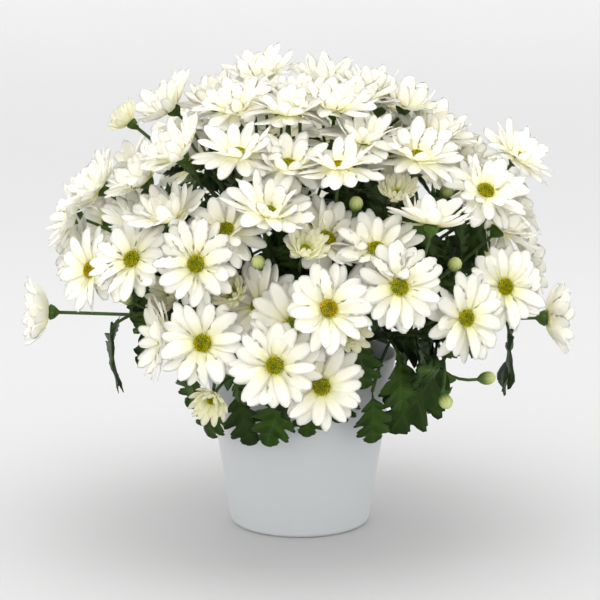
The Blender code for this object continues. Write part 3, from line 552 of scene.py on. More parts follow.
def findLeaves(branches, solids):
    # Every leaf of the solids: its plant, length, matrix, and the stalk that it hangs on.
    leaves = []
    thinnest, thickest = fit["leafRing"]
    for base, tip, outward in hangingPlaces():
        starts = sorted(
            ((onLine(branch["points"], share) - base).length, place, share)
            for place, branch in enumerate(branches) for share in leafPlan["stalksFrom"])
        best, chosen = 0, None
        for _, place, share in starts[:leafPlan["stalkTries"]]:
            branch = branches[place]
            start = onLine(branch["points"], share)
            bow = start.lerp(base, 0.5) + up * leafPlan["stalkBow"]
            end = base + (tip - base) * leafPlan["stalkInto"]
            halfway = np.array(start * 0.25 + bow * 0.5 + end * 0.25)
            away = np.linalg.norm(solids[branch["plant"]] - halfway, axis=1)
            found = ((away > thinnest) & (away < thickest)).sum()
            if found > best:
                best, chosen = found, (branch["plant"], (start, bow, end))
        if chosen:
            leaf = findLeaf(base, tip, outward, solids[chosen[0]])
            if leaf:
                leaves.append({"plant": chosen[0], "size": leaf[0], "frame": leaf[1],
                               "stalk": chosen[1]})
    for j, branch in enumerate(branches):
        points = branch["points"]
        ahead = (points[-1] - points[0]).normalized()
        flat = Vector((ahead.x, ahead.y, 0.0)).normalized()
        for place, share in enumerate(leafPlan["aBranch"][j % 2]):
            base = onLine(points, share)
            aside = ahead.cross(up).normalized() * (1 if (place + j // 2) % 2 else -1)
            way = (aside + leafPlan["ahead"] * ahead + leafPlan["upward"] * up).normalized()
            tip = base + way * leafPlan["length"] * draw.uniform(*leafPlan["lengthDraw"])
            outward = (leafPlan["faceUp"] * up + flat).normalized()
            leaf = findLeaf(base, tip, outward, solids[branch["plant"]])
            if leaf:
                leaves.append({"plant": branch["plant"], "size": leaf[0], "frame": leaf[1]})
    return leaves


heads = allHeads()
settleLayers(heads)
branches = [branch for k in range(plants["count"]) for branch in findBranches(k, heads)]
plantSolids = [corners(f"plant_{k + 1}") for k in range(plants["count"])]
lost = sum(findStalk(head, plantSolids[head["plant"]]) < fit["least"] for head in heads)
bloomSolids = {
    node: corners(node) for node in dict.fromkeys(head["node"] for head in heads if "node" in head)}
for head in heads:
    if head["kind"] == "bloom":
        findPetals(head, bloomSolids[head["node"]])
leaves = findLeaves(branches, plantSolids)
unsure = sum(petal[2] < fit["least"] for head in heads for petal in head.get("broad", ()))
print(f"places: {len(heads)} heads, {lost} stalks and {unsure} petals not found, "
      f"{len(leaves)} leaves")


def unit(vectors):
    # Each vector over its own length.
    return vectors / np.maximum(np.linalg.norm(vectors, axis=-1, keepdims=True), 1e-12)


def smooth(values, low, high):
    # 0 below the low value, 1 above the high one, and an even S between them.
    share = np.clip((values - low) / (high - low), 0.0, 1.0)
    return share * share * (3.0 - 2.0 * share)


def mixed(low, high, share):
    return low + (high - low) * share


def stacked(items):
    # An array of vectors or matrices.
    return np.array([np.array(item) for item in items])


def together(*parts):
    # Arrays spread to one shape, and joined along a new last axis.
    return np.stack(np.broadcast_arrays(*parts), axis=-1)


def profileRings(profile, sides):
    # A profile of radius and height as columns, and the turns at which it is repeated as a row.
    turn = np.arange(sides) * fullTurn / sides
    radius, height = (np.array(profile)[:, k, None] for k in range(2))
    return radius, height, turn


def turned(radius, height, turn):
    # Points at a radius, height and turn round the axis.
    return together(radius * np.cos(turn), radius * np.sin(turn), height)


def sweepFaces(rings, sides):
    # Quads between rings that follow one another, and triangles to a pole point at each end.
    side = np.arange(sides)
    nextSide = (side + 1) % sides
    ring = 1 + sides * np.arange(rings - 1)[:, None]
    quads = np.stack([ring + side, ring + nextSide, ring + sides + nextSide, ring + sides + side],
                     axis=-1).reshape(-1, 4)
    last = 1 + sides * (rings - 1)
    first = np.stack([np.zeros_like(side), 1 + nextSide, 1 + side], axis=-1)
    final = np.stack([np.full_like(side, last + sides), last + side, last + nextSide], axis=-1)
    return quads, np.vstack([first, final])


def withPoles(rings):
    # Each stack's rings in one row, after the middle of its first ring and before the last's.
    stack = rings.reshape(len(rings), -1, rings.shape[-1])
    first, last = rings[:, 0].mean(axis=1), rings[:, -1].mean(axis=1)
    return np.concatenate([first[:, None], stack, last[:, None]], axis=1)


def linked(name, data):
    # A new object in the scene.
    made = bpy.data.objects.new(name, data)
    bpy.context.scene.collection.objects.link(made)
    return made


class Skin:
    # Closed surfaces that become one mesh, with three numbers at each point for its material.
    def __init__(self):
        self.points, self.marks, self.quads, self.triangles, self.count = [], [], [], [], 0

    def add(self, rings, marks=(0.0, 0.0, 0.0)):
        # rings is an array of surface, ring, place round it and xyz; marks has the same first
        # three, and along, across and tone in place of xyz.
        marks = np.broadcast_to(marks, (*rings.shape[:3], 3))
        quads, triangles = sweepFaces(*rings.shape[1:3])
        points = withPoles(rings)
        starts = self.count + points.shape[1] * np.arange(len(points))[:, None, None]
        self.points.append(points.reshape(-1, 3))
        self.marks.append(withPoles(marks).reshape(-1, 3))
        self.quads.append((quads + starts).reshape(-1, 4))
        self.triangles.append((triangles + starts).reshape(-1, 3))
        self.count += points.shape[0] * points.shape[1]

    def make(self, name, material, slot, node):
        # The mesh, which takes the place of a node.
        points, marks = np.concatenate(self.points), np.concatenate(self.marks)
        quads, triangles = np.concatenate(self.quads), np.concatenate(self.triangles)
        mesh = bpy.data.meshes.new(name)
        mesh.vertices.add(len(points))
        mesh.vertices.foreach_set("co", points.ravel().astype(np.float32))
        mesh.loops.add(quads.size + triangles.size)
        mesh.loops.foreach_set("vertex_index", np.concatenate([quads.ravel(), triangles.ravel()]))
        mesh.polygons.add(len(quads) + len(triangles))
        starts = [4 * np.arange(len(quads)), quads.size + 3 * np.arange(len(triangles))]
        mesh.polygons.foreach_set("loop_start", np.concatenate(starts))
        mesh.update(calc_edges=True)
        for k, mark in enumerate(("along", "across", "tone")):
            layer = mesh.attributes.new(mark, "FLOAT", "POINT")
            layer.data.foreach_set("value", marks[:, k].astype(np.float32))
        mesh.shade_smooth()
        mesh.materials.append(material)
        piece = linked(name, mesh)
        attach(piece, "root")
        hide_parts(node)


def inFrames(points, frames):
    # Stacks of points, each moved by its own matrix.
    shape = (-1,) + (1,) * (points.ndim - 2) + (3,)
    moved = np.einsum("mij,m...j->m...i", frames[:, :3, :3], points)
    return moved + frames[:, :3, 3].reshape(shape)


def inEach(frames, points, marks):
    # The same rings once in each frame, and their marks.
    shape = (len(frames), *points.shape)
    return inFrames(np.broadcast_to(points, shape), frames), np.broadcast_to(marks, shape)


def curve(ends, count):
    # Stacks of quadratic curves, from (start, bend, end) triples: points and directions.
    start, middle, end = (ends[:, k, None] for k in range(3))
    t = np.linspace(0.0, 1.0, count)[None, :, None]
    points = start * (1 - t) ** 2 + middle * 2 * t * (1 - t) + end * t * t
    ways = (middle - start) * (1 - t) + (end - middle) * t
    return points, unit(ways)


def tubeRings(points, ways, radii, sides, ribs=0, depth=0.0):
    # Rings round stacks of lines: a circle in the plane across the line, whose radius waves in
    # and out round it where it has ribs.
    bendAxis = np.cross(ways[:, 0], ways[:, -1])
    flat = np.linalg.norm(bendAxis, axis=-1, keepdims=True) < 1e-6
    spare = np.cross(ways[:, 0], np.where(np.abs(ways[:, 0, 2:]) < 0.9, (0, 0, 1.0), (1.0, 0, 0)))
    bendAxis = unit(np.where(flat, spare, bendAxis))[:, None]
    side = unit(bendAxis - ways * (bendAxis * ways).sum(axis=-1, keepdims=True))
    other = np.cross(ways, side)
    turn = np.arange(sides) * fullTurn / sides
    radii = np.broadcast_to(radii, points.shape[:2])[..., None, None]
    radii = radii * (1.0 + depth * np.cos(ribs * turn))[:, None]
    circle = side[:, :, None] * np.cos(turn)[:, None] + other[:, :, None] * np.sin(turn)[:, None]
    return points[:, :, None] + circle * radii


# Petals
petalShape = {
    "rows": (0.0, 0.14, 0.34, 0.56, 0.76, 0.91, 1.0),
    "across": 5,
    "halfWidth": 0.0057,
    "baseWidth": 0.50,  # share of the widest
    "widest": 0.60,  # along the petal
    "blunt": 0.965,  # 1 would draw the tip to a point
    "bluntPower": 2.1,
    "thick": 0.00026,
    "groove": 0.00022,
    "grooveFrom": (0.0, 0.3),  # the grooves grow here, and lose half their depth there
    "grooveTo": (0.7, 1.0),
    "hollow": 0.10,  # how far the edges stand up near the root, as a share of the width
    "round": 0.0006,  # how far the tip's middle reaches beyond its corners, less the notch in it
    "notch": 0.0010,
    "notchWidth": 0.3,
    "rootRadius": 0.0050,
    "rootLift": 0.0006,
    "cornerEase": 0.16,
}


def petalRings(turns, pitches, lengths, widths, bows, sweeps, twists, lifts, root, hinge):
    # Petals in a bloom's own frame. The middle line runs flat from the root to the hinge circle,
    # then rises at the pitch, with the corner between them eased by a root of squares and a sine
    # for the bow. The half width is a quarter sine up to the widest place and a blunt
    # superellipse beyond. Across it lie three ridges, a cosine, and the thickness is a parabola.
    # The last ring is rounded by a parabola, and notched by a bell curve.
    shape = petalShape
    column = lambda values: np.asarray(values, float)[:, None]
    turns, pitches, lengths = column(turns), column(pitches), column(lengths)
    s = np.array(shape["rows"])[None]
    flat = (hinge - root) / (hinge - root + lengths)
    risen = lambda u: 0.5 * (u + np.sqrt(u * u + shape["cornerEase"] ** 2))
    low, high = risen(-flat / (1.0 - flat)), risen(1.0)
    rise = (risen((s - flat) / (1.0 - flat)) - low) / (high - low)
    run = (s - rise * (1.0 - flat)) / flat
    bow = column(bows) * lengths * np.sin(np.pi * s)
    radius = root + (hinge - root) * run + lengths * np.cos(pitches) * rise - bow * np.sin(pitches)
    height = shape["rootLift"] + column(lifts) + lengths * np.sin(pitches) * rise
    height = height + bow * np.cos(pitches)
    slope = np.arctan2(np.gradient(height, axis=1), np.gradient(radius, axis=1))
    rising = np.sin(0.5 * np.pi * np.minimum(s / shape["widest"], 1.0))
    beyond = shape["blunt"] * np.maximum(s - shape["widest"], 0.0) / (1.0 - shape["widest"])
    blunted = np.sqrt(1.0 - beyond ** shape["bluntPower"])
    outline = mixed(shape["baseWidth"], 1.0, rising) * blunted
    half = (column(widths) * outline)[..., None]

    upper = np.linspace(1.0, -1.0, shape["across"])
    t = np.concatenate([upper, -upper[1:-1]])
    face = np.concatenate([[0.0], np.ones(len(upper) - 2), [0.0], -np.ones(len(upper) - 2)])
    fade = smooth(s, *shape["grooveFrom"]) * (1.0 - 0.5 * smooth(s, *shape["grooveTo"]))
    fade = fade[..., None]
    lift = shape["groove"] * fade * np.cos(2.0 * np.pi * t)
    lift = lift + shape["hollow"] * half * t * t * (1.0 - s[..., None])
    lift = lift + 0.5 * shape["thick"] * face * (1.0 - t * t)
    notch = shape["notch"] * np.exp(-(t / shape["notchWidth"]) ** 2)
    reach = np.where(s[..., None] == 1.0, shape["round"] * (1.0 - t * t) - notch, 0.0)

    twist = (column(twists) * s)[..., None]
    aside = half * t * np.cos(twist) - lift * np.sin(twist)
    above = half * t * np.sin(twist) + lift * np.cos(twist)
    aside = aside + (column(sweeps) * lengths * s * s)[..., None]
    slope = slope[..., None]
    out = radius[..., None] + reach * np.cos(slope) - above * np.sin(slope)
    z = height[..., None] + reach * np.sin(slope) + above * np.cos(slope)
    cosine, sine = np.cos(turns)[..., None], np.sin(turns)[..., None]
    points = np.stack([out * cosine - aside * sine, out * sine + aside * cosine, z], axis=-1)
    return points, together(s[..., None], t, np.zeros((len(turns), 1, 1)))


# Open blooms
bloomShape = {
    "petals": (22, 25),
    "upperRaise": 7.0,  # every second petal stands this many degrees higher
    "lowerDrop": 3.0,
    "upperLength": 0.92,
    "upperLift": 0.0007,
    "bows": (-0.10, 0.13),
    "sweep": 0.15,
    "twist": 0.55,
    "turnSpread": 0.06,
    "pitchSpread": 8.0,
    "lengthSpread": 0.10,
    "widthSpread": 0.18,
    "fullLength": 0.020,  # shorter petals are narrower too, down to a share of the width
    "leastWidth": 0.35,
    "cupSpread": 4.0,
    "upward": (0.5, 0.95),  # height of the face direction where the next two begin and are full
    "topCup": 16.0,  # how much higher the upper petals stand where a bloom faces up
    "topDrop": 10.0,  # and how much lower the others
    "long": (0.3, 0.8),  # and the same for the next one
    "topLength": 1.05,
    "innerFrom": 0.55,  # blooms that face up more than this have an inner row
    "innerRaise": 26.0,
    "innerLength": 0.74,
    "topMore": 6,  # and so many more petals
}


def bloomRings(head):
    # A bloom's petals: pitch and length change smoothly round it, between those of the solid's
    # broad petals.
    shape = bloomShape
    full = head["face"].z > shape["innerFrom"]
    count = int(chance.integers(*shape["petals"])) + shape["topMore"] * full
    place = np.arange(count)
    turns = place * fullTurn / count
    spot = turns * head["petals"] / fullTurn
    near = spot.astype(int)
    share = smooth(spot - near, 0.25, 0.75)
    broad = np.array([petal[:2] for petal in head["broad"]])
    first, second = broad[near % head["petals"]], broad[(near + 1) % head["petals"]]
    pitches, lengths = (mixed(first, second, share[:, None])).T
    raised = place % 2 == 1
    spread = lambda width: chance.uniform(-width, width, count)
    pitches = pitches + np.where(raised, shape["upperRaise"], -shape["lowerDrop"])
    upward = smooth(head["face"].z, *shape["upward"])
    pitches = pitches + upward * np.where(raised, shape["topCup"], -shape["topDrop"])
    pitches = pitches + chance.uniform(-shape["cupSpread"], shape["cupSpread"])
    pitches = np.radians(pitches + spread(shape["pitchSpread"]))
    if full:
        inner = place % 4 == 3
        pitches = pitches + np.radians(shape["innerRaise"]) * inner
        lengths = lengths * np.where(inner, shape["innerLength"], 1.0)
    lengths = lengths * mixed(1.0, shape["topLength"], smooth(head["face"].z, *shape["long"]))
    lengths = lengths * np.where(raised, shape["upperLength"], 1.0)
    lengths = lengths * (1.0 + spread(shape["lengthSpread"]))
    widths = petalShape["halfWidth"] * (1.0 + spread(shape["widthSpread"]))
    widths = widths * np.sqrt(np.clip(lengths / shape["fullLength"], shape["leastWidth"], 1.0))
    points, marks = petalRings(
        turns + spread(shape["turnSpread"]), pitches, lengths, widths,
        chance.uniform(*shape["bows"], count),
        spread(shape["sweep"]), spread(shape["twist"]),
        np.where(raised, shape["upperLift"], 0.0), petalShape["rootRadius"], petalPlan["hinge"])
    marks[..., 2] = chance.uniform(0.0, 1.0, count)[:, None, None]
    return points, marks


# Helpers for the materials
def newMaterial(name, roughness):
    material = bpy.data.materials.new(name)
    material.use_nodes = True
    shader = material.node_tree.nodes["Principled BSDF"]
    shader.inputs["Roughness"].default_value = roughness
    return material, shader


def put(material, kind, inputs, **settings):
    # One shader node: its settings, and its inputs as fixed values or other nodes' outputs.
    made = material.node_tree.nodes.new(kind)
    for key, value in settings.items():
        setattr(made, key, value)
    for key, value in inputs.items():
        if isinstance(value, bpy.types.NodeSocket):
            material.node_tree.links.new(value, made.inputs[key])
        else:
            made.inputs[key].default_value = value
    return made


def join(material, output, entry):
    material.node_tree.links.new(output, entry)


def mark(material, name):
    # One of the three numbers at each point of a skin.
    return put(material, "ShaderNodeAttribute", {}, attribute_name=name).outputs["Fac"]


def objectPlace(material):
    return put(material, "ShaderNodeTexCoord", {}).outputs["Object"]


def noise(material, scale, detail=3.0, rough=0.55):
    made = put(material, "ShaderNodeTexNoise", {
        "Vector": objectPlace(material), "Scale": scale, "Detail": detail, "Roughness": rough})
    return made.outputs["Fac"]


def ramp(material, factor, *stops):
    made = put(material, "ShaderNodeValToRGB", {"Fac": factor})
    elements = made.color_ramp.elements
    while len(elements) < len(stops):
        elements.new(0.5)
    for element, (place, colour) in zip(elements, stops):
        element.position = place
        element.color = (*colour, 1.0)
    return made.outputs["Color"]


def blend(material, kind, factor, first, second):
    made = put(material, "ShaderNodeMixRGB", {"Fac": factor}, blend_type=kind)
    for entry, value in (("Color1", first), ("Color2", second)):
        if isinstance(value, bpy.types.NodeSocket):
            join(material, value, made.inputs[entry])
        else:
            made.inputs[entry].default_value = (*value, 1.0)
    return made.outputs["Color"]


def arithmetic(material, operation, first, second):
    made = put(material, "ShaderNodeMath", {0: first, 1: second}, operation=operation)
    return made.outputs["Value"]


def grey(material, factor, low, high):
    # A number that runs from low to high as the factor runs from 0 to 1.
    made = put(material, "ShaderNodeMapRange", {"Value": factor, "To Min": low, "To Max": high})
    return made.outputs["Result"]


def bump(material, shader, height, strength, distance):
    made = put(material, "ShaderNodeBump", {
        "Height": height, "Strength": strength, "Distance": distance})
    join(material, made.outputs["Normal"], shader.inputs["Normal"])


petalFinish = {
    # colours from the root to the tip, each with its place along the petal
    "white": ((0.0, (0.56, 0.56, 0.16)), (0.16, (0.78, 0.75, 0.46)), (0.45, (0.84, 0.82, 0.70)),
              (1.0, (0.87, 0.86, 0.79))),
    "cream": ((0.0, (0.42, 0.46, 0.09)), (0.16, (0.64, 0.65, 0.30)), (0.45, (0.75, 0.73, 0.50)),
              (1.0, (0.78, 0.76, 0.60))),
    "cloudScale": 60.0,
    "clouds": (0.93, 1.05),  # darkest and lightest share of the colour
    "tones": (0.965, 1.0),  # and from one petal to the next
    "roughness": 0.55,
    "grooves": 26.0,  # turn of their sine over half the width, in radians
    "grainScale": 900.0,
    "grain": 0.6,
    "relief": (0.25, 0.0001),
    "through": 0.62,  # how much light goes through, and how far
    "throughReach": (0.009, 0.009, 0.0085),
    "specular": 0.3,
    "sheen": 0.1,
}


def petalMaterial(name, colours):
    # Whitish, with a greenish root, fine grooves along it, and a little light through it.
    finish = petalFinish
    material, shader = newMaterial(name, finish["roughness"])
    colour = ramp(material, mark(material, "along"), *colours)
    cloud = grey(material, noise(material, finish["cloudScale"]), *finish["clouds"])
    own = grey(material, mark(material, "tone"), *finish["tones"])
    colour = blend(material, "MULTIPLY", 1.0, colour, arithmetic(material, "MULTIPLY", cloud, own))
    join(material, colour, shader.inputs["Base Color"])
    lines = arithmetic(material, "SINE", arithmetic(
        material, "MULTIPLY", mark(material, "across"), finish["grooves"]), 0.0)
    grain = arithmetic(
        material, "MULTIPLY", noise(material, finish["grainScale"]), finish["grain"])
    bump(material, shader, arithmetic(material, "ADD", lines, grain), *finish["relief"])
    shader.subsurface_method = "BURLEY"
    shader.inputs["Subsurface Weight"].default_value = finish["through"]
    shader.inputs["Subsurface Radius"].default_value = finish["throughReach"]
    shader.inputs["Subsurface Scale"].default_value = 1.0
    shader.inputs["Specular IOR Level"].default_value = finish["specular"]
    shader.inputs["Sheen Weight"].default_value = finish["sheen"]
    return material


def addPetals(skin, head, rings):
    # A head's petals, by the function that shapes them.
    points, marks = rings(head)
    skin.add(inFrames(points, np.array(head["frame"])[None]), marks)


petalWhite = petalMaterial("petalWhite", petalFinish["white"])

print("petals")
for node in bloomSolids:
    skin = Skin()
    for head in heads:
        if head.get("node") == node:
            addPetals(skin, head, bloomRings)
    skin.make(f"{node}_petals", petalWhite, "petals", node)


# Heads: calyx, disc and florets
headShape = {
    "sides": 24,
    "calyx": (  # radius and height of its rings, then the neck, and the disc under its florets
        (0.00130, -0.0085), (0.00190, -0.0076), (0.0034, -0.0062), (0.0050, -0.0044),
        (0.0059, -0.0026), (0.0064, -0.0010), (0.0054, -0.0003), (0.0046, 0.0004),
        (0.0054, 0.0010), (0.0062, 0.0018), (0.0060, 0.0028), (0.0048, 0.0037), (0.0028, 0.0042),
        (0.0008, 0.0042),
    ),
    "bracts": 9,
    "bractDepth": 0.045,
    "bractFrom": -0.0085,  # height where their rows begin, and end
    "bractTo": -0.0004,
    "bractHeight": 0.0026,
    "bractRows": 3,
    "swellFrom": 0.4,  # row from which they stand out
    "florets": 84,
    "floretSides": 5,
    "floretSize": 0.00056,
    "floretRadii": (0.75, 1.0, 0.55),  # radius and height of a floret's rings, in its size
    "floretHeights": (-0.6, 0.9, 1.5),
    "rimWider": 0.25,
    "openFrom": 0.62,  # the florets nearer to the rim than this are open, and lower
    "openTop": 0.45,
    "lean": 0.9,
    "discRadius": 0.0064,
    "discTop": 0.0046,
    "discRim": 0.0021,
    "discPower": 0.6,
    "dimple": 0.0006,
    "dimpleWidth": 0.3,
}


def calyxRings(frames, profile, bracts):
    # A profile of radius and height carried round the axis. Below the petals its radius swells
    # with the overlapping bracts, a cosine whose phase moves on by half from one row to the next.
    shape = headShape
    radius, height, turn = profileRings(profile, shape["sides"])
    row = np.clip((height - shape["bractFrom"]) / shape["bractHeight"], 0.0,
                  shape["bractRows"] - 0.1)
    swell = np.cos(bracts * turn + np.pi * np.floor(row)) * (height < shape["bractTo"])
    marks = together(smooth(height, shape["bractFrom"], shape["bractTo"]), 0.5 + 0.5 * swell, 0.5)
    radius = radius * (1.0 + shape["bractDepth"] * swell * (row > shape["swellFrom"]))
    return inEach(frames, turned(radius, height, turn), marks)


def floretRings(frames, disc):
    # Florets on a spiral: each at the square root of its number out from the middle, a golden
    # turn on from the last, standing on the disc's dome, which has a bell curve's dimple. They
    # lean outwards with their distance, and those near the rim are open.
    shape = headShape
    count, size = disc["florets"], disc["floretSize"]
    place = np.arange(count)
    share = np.sqrt((place + 0.5) / count)
    turn = place * goldenTurn
    height = mixed(disc["discRim"], disc["discTop"], (1.0 - share ** 2) ** shape["discPower"])
    height = height - shape["dimple"] * np.exp(-(share / shape["dimpleWidth"]) ** 2)
    share, turn, height = (values[:, None, None] for values in (share, turn, height))
    sides = shape["floretSides"]
    own = np.arange(sides) * fullTurn / sides
    radii, heights = (size * np.array(shape[key])[None, :, None]
                      for key in ("floretRadii", "floretHeights"))
    radii = radii * (1.0 + shape["rimWider"] * share)
    heights = heights * np.ones((count, 1, sides))
    heights[:, 2:] = heights[:, 2:] * np.where(share > shape["openFrom"], shape["openTop"], 1.0)
    across, aside = radii * np.cos(own + turn), radii * np.sin(own + turn)
    lean = share * shape["lean"]
    out = across * np.cos(lean) + heights * np.sin(lean) + disc["discRadius"] * share
    z = -across * np.sin(lean) + heights * np.cos(lean) + height
    cosine, sine = np.cos(turn), np.sin(turn)
    points = np.stack([out * cosine - aside * sine, out * sine + aside * cosine, z], axis=-1)
    # along runs from a floret's foot (0) to its top (1); the disc material paints shade at the foot
    marks = together(np.array((0.0, 0.6, 1.0))[:, None], share, np.zeros((count, 3, sides)))
    points, marks = inEach(frames, points, marks)
    marks = marks.copy()
    marks[..., 2] = chance.uniform(0.0, 1.0, len(frames))[:, None, None, None]
    return points.reshape(-1, 3, sides, 3), marks.reshape(-1, 3, sides, 3)


# Half-open blooms
youngShape = {
    "petals": 33,
    "pitches": (46.0, 60.0, 74.0),  # of the outer, middle and inner row
    "lengths": (0.0160, 0.0138, 0.0106),
    "widths": (0.0031, 0.0027, 0.0021),
    "lifts": (0.0, 0.0005, 0.0010),
    "bows": (-0.16, -0.05),
    "sweep": 0.08,
    "twist": 0.3,
    "turnSpread": 0.05,
    "pitchSpread": 6.0,
    "widthSpread": 0.12,
    "root": 0.0028,
    "hinge": 0.0044,
    "calyx": (
        (0.00130, -0.0085), (0.0018, -0.0076), (0.0028, -0.0060), (0.0038, -0.0042),
        (0.0044, -0.0024), (0.0046, -0.0008), (0.0038, 0.0), (0.0032, 0.0008), (0.0030, 0.0020),
        (0.0018, 0.0028), (0.0006, 0.0031),
    ),
    "bracts": 8,
    "florets": 36,
    "floretSize": 0.00055,
    "discRadius": 0.0027,
    "discTop": 0.0034,
    "discRim": 0.0024,
}
budShape = {
    "profile": (
        (0.0013, -0.0080), (0.0022, -0.0070), (0.0037, -0.0052), (0.0047, -0.0032),
        (0.0050, -0.0012), (0.0050, 0.0006), (0.0046, 0.0022), (0.0038, 0.0036), (0.0026, 0.0048),
        (0.0013, 0.0056), (0.0004, 0.0059),
    ),
    "folds": 10,
    "foldDepth": 0.05,
    "foldFrom": -0.0075,
    "colourSpan": (-0.008, 0.006),  # heights at which the colours begin and end
    "lean": 180.0,  # turn of the folds over a metre of height, in radians
}


def youngRings(head):
    # The cupped petals of a half-open bloom, in three rows, sized as the solid's are.
    shape = youngShape
    count = shape["petals"]
    row = np.arange(count) % len(shape["pitches"])
    spread = lambda width: chance.uniform(-width, width, count)
    of = lambda key: np.array(shape[key])[row]
    sizes = np.array(head["sizes"])[np.arange(count) * len(head["sizes"]) // count]
    points, marks = petalRings(
        np.arange(count) * fullTurn / count + spread(shape["turnSpread"]),
        np.radians(of("pitches") + spread(shape["pitchSpread"])),
        of("lengths") * sizes, of("widths") * (1.0 + spread(shape["widthSpread"])),
        chance.uniform(*shape["bows"], count), spread(shape["sweep"]), spread(shape["twist"]),
        of("lifts"), shape["root"], shape["hinge"])
    marks[..., 2] = chance.uniform(0.0, 1.0, count)[:, None, None]
    return points, marks


def budRings(frames):
    # A bud's profile carried round the axis, with folds that lean round it as they rise.
    shape = budShape
    radius, height, turn = profileRings(shape["profile"], headShape["sides"])
    fold = np.cos(shape["folds"] * turn + shape["lean"] * height) * (height > shape["foldFrom"])
    # the across mark is lowest in the creases between folds, where the bud's material paints shade
    marks = together(smooth(height, *shape["colourSpan"]), 0.5 + 0.5 * fold, 0.5)
    return inEach(frames, turned(radius * (1.0 + shape["foldDepth"] * fold), height, turn), marks)


# Stems
stemShape = {
    "sides": 8,
    "branchSteps": 14,
    "stalkSteps": 9,
    "ribs": 4,
    "ribDepth": 0.08,
    "branchTaper": (1.05, 0.85),  # radius at the root and at the end, as shares of the solid's
    "stalkTaper": (1.0, 1.08),
    "mainSides": 12,
    "mainRibs": 3,
    "mainRibDepth": 0.05,
    "mainOver": 0.0015,  # how far the main stem rises above its branches' root
    "mainRadii": (1.0, 1.0, 1.0, 1.0, 1.0, 1.0, 0.98, 0.96, 0.90, 0.62),
}

# Leaves. Half the outline of a blade: along and aside as shares of its length, and the place on
# its rib that each point is joined to
leafOutline = np.array((
    (0.000, 0.014, 0.000), (0.100, 0.014, 0.090), (0.165, 0.020, 0.160), (0.190, 0.060, 0.190),
    (0.215, 0.130, 0.205), (0.255, 0.182, 0.225), (0.300, 0.204, 0.245), (0.335, 0.184, 0.265),
    (0.345, 0.154, 0.285), (0.360, 0.142, 0.305), (0.385, 0.195, 0.320), (0.425, 0.268, 0.335),
    (0.470, 0.312, 0.350), (0.495, 0.296, 0.362), (0.530, 0.340, 0.375), (0.575, 0.328, 0.395),
    (0.592, 0.272, 0.415), (0.592, 0.210, 0.440), (0.602, 0.168, 0.475), (0.622, 0.178, 0.510),
    (0.655, 0.232, 0.535), (0.695, 0.286, 0.560), (0.720, 0.270, 0.580), (0.760, 0.296, 0.605),
    (0.800, 0.264, 0.635), (0.806, 0.206, 0.665), (0.802, 0.158, 0.700), (0.816, 0.132, 0.735),
    (0.840, 0.144, 0.765), (0.870, 0.170, 0.795), (0.892, 0.150, 0.820), (0.920, 0.154, 0.850),
    (0.945, 0.116, 0.880), (0.960, 0.090, 0.905), (0.980, 0.078, 0.935), (0.993, 0.044, 0.960),
    (1.000, 0.010, 0.988),
))
leafShape = {
    "forward": 0.45,  # how far the lobes lean towards the leaf's tip
    "shares": (0.0, 0.12, 0.45, 0.78, 1.0),
    "smallShares": (0.0, 1.0),  # small leaves have fewer points across, and of the outline
    "smallRows": (0, 2, 4, 6, 9, 11, 14, 16, 18, 20, 23, 25, 27, 29, 31, 33, 36),
    "veins": (0.240, 0.350, 0.385, 0.560, 0.605, 0.800),  # where the lobes' veins leave the rib
    "veinWidth": 0.016,
    "ribWidth": 0.10,
    "veinFade": 0.7,  # how much fainter the veins are at the edge
    "furrow": 0.012,
    "thick": 0.00022,
    "ribThick": 0.0007,
    "ribThickWidth": 0.16,
    "stalkThick": 0.0009,
    "stalkSpan": (0.12, 0.24),  # where along the leaf its stalk becomes the blade
    "wave": 0.042,
    "waveDraw": (0.6, 1.3),
    "waves": ((1.0, 11.0, 9.0), (0.6, 23.0, 17.0)),  # height, and turns along and across
}


def leafRings(count, outline, shares):
    # Leaves of length 1 along X. At each place on the outline a line runs across the blade, from
    # one edge through the rib to the other. Its height droops with the square of the length and
    # folds up aside, sinks along the veins by bell curves, and waves by two products of sines.
    shape = leafShape
    along, aside, rib = (outline[:, k][None, :, None] for k in range(3))
    along = along + shape["forward"] * aside * (1.0 - along)
    half = np.array(shares)
    share = np.concatenate([half[::-1], -half[1:]])
    share = np.concatenate([share, -share[1:-1]])
    face = np.where(np.arange(len(share)) < 2 * len(half) - 1, 1.0, -1.0)
    face[[0, 2 * len(half) - 2]] = 0.0
    away = np.abs(share)
    x = rib + (along - rib) * away
    y = aside * share
    phases = chance.uniform(0.0, fullTurn, (4, count, 1, 1))
    swell = chance.uniform(*shape["waveDraw"], (count, 1, 1)) * shape["wave"]
    wave = sum(
        high * np.sin(lengthwise * x + phases[2 * k]) * np.sin(crosswise * y + phases[2 * k + 1])
        for k, (high, lengthwise, crosswise) in enumerate(shape["waves"]))
    z = -leafPlan["droop"] * x * x + leafPlan["fold"] * np.abs(y) * (1.0 - x)
    z = z + swell * wave * np.minimum(away * 3.0, 1.0) * (x > 0.2)
    vein = np.exp(-((rib[..., None] - np.array(shape["veins"])) / shape["veinWidth"]) ** 2)
    vein = np.maximum(vein.max(axis=-1), np.exp(-(away / shape["ribWidth"]) ** 2))
    vein = vein * (1.0 - shape["veinFade"] * smooth(away, 0.5, 1.0))
    z = z - shape["furrow"] * vein * smooth(x, 0.15, 0.3)
    stalk = 1.0 - smooth(along, *shape["stalkSpan"])
    thin = shape["thick"] + shape["ribThick"] * np.exp(-(away / shape["ribThickWidth"]) ** 2)
    thin = mixed(thin, shape["stalkThick"], stalk) / leafPlan["length"]
    circle = np.sqrt(1.0 - away ** 2 + 1e-9)  # the stalk is round, the blade flat
    z = z + face * thin * np.where(stalk > 0.5, circle, 1.0)
    tones = chance.uniform(0.0, 1.0, (count, 1, 1))
    return together(x, y, z), together(vein, 0.5 - 0.5 * face, tones + 0.0 * z)


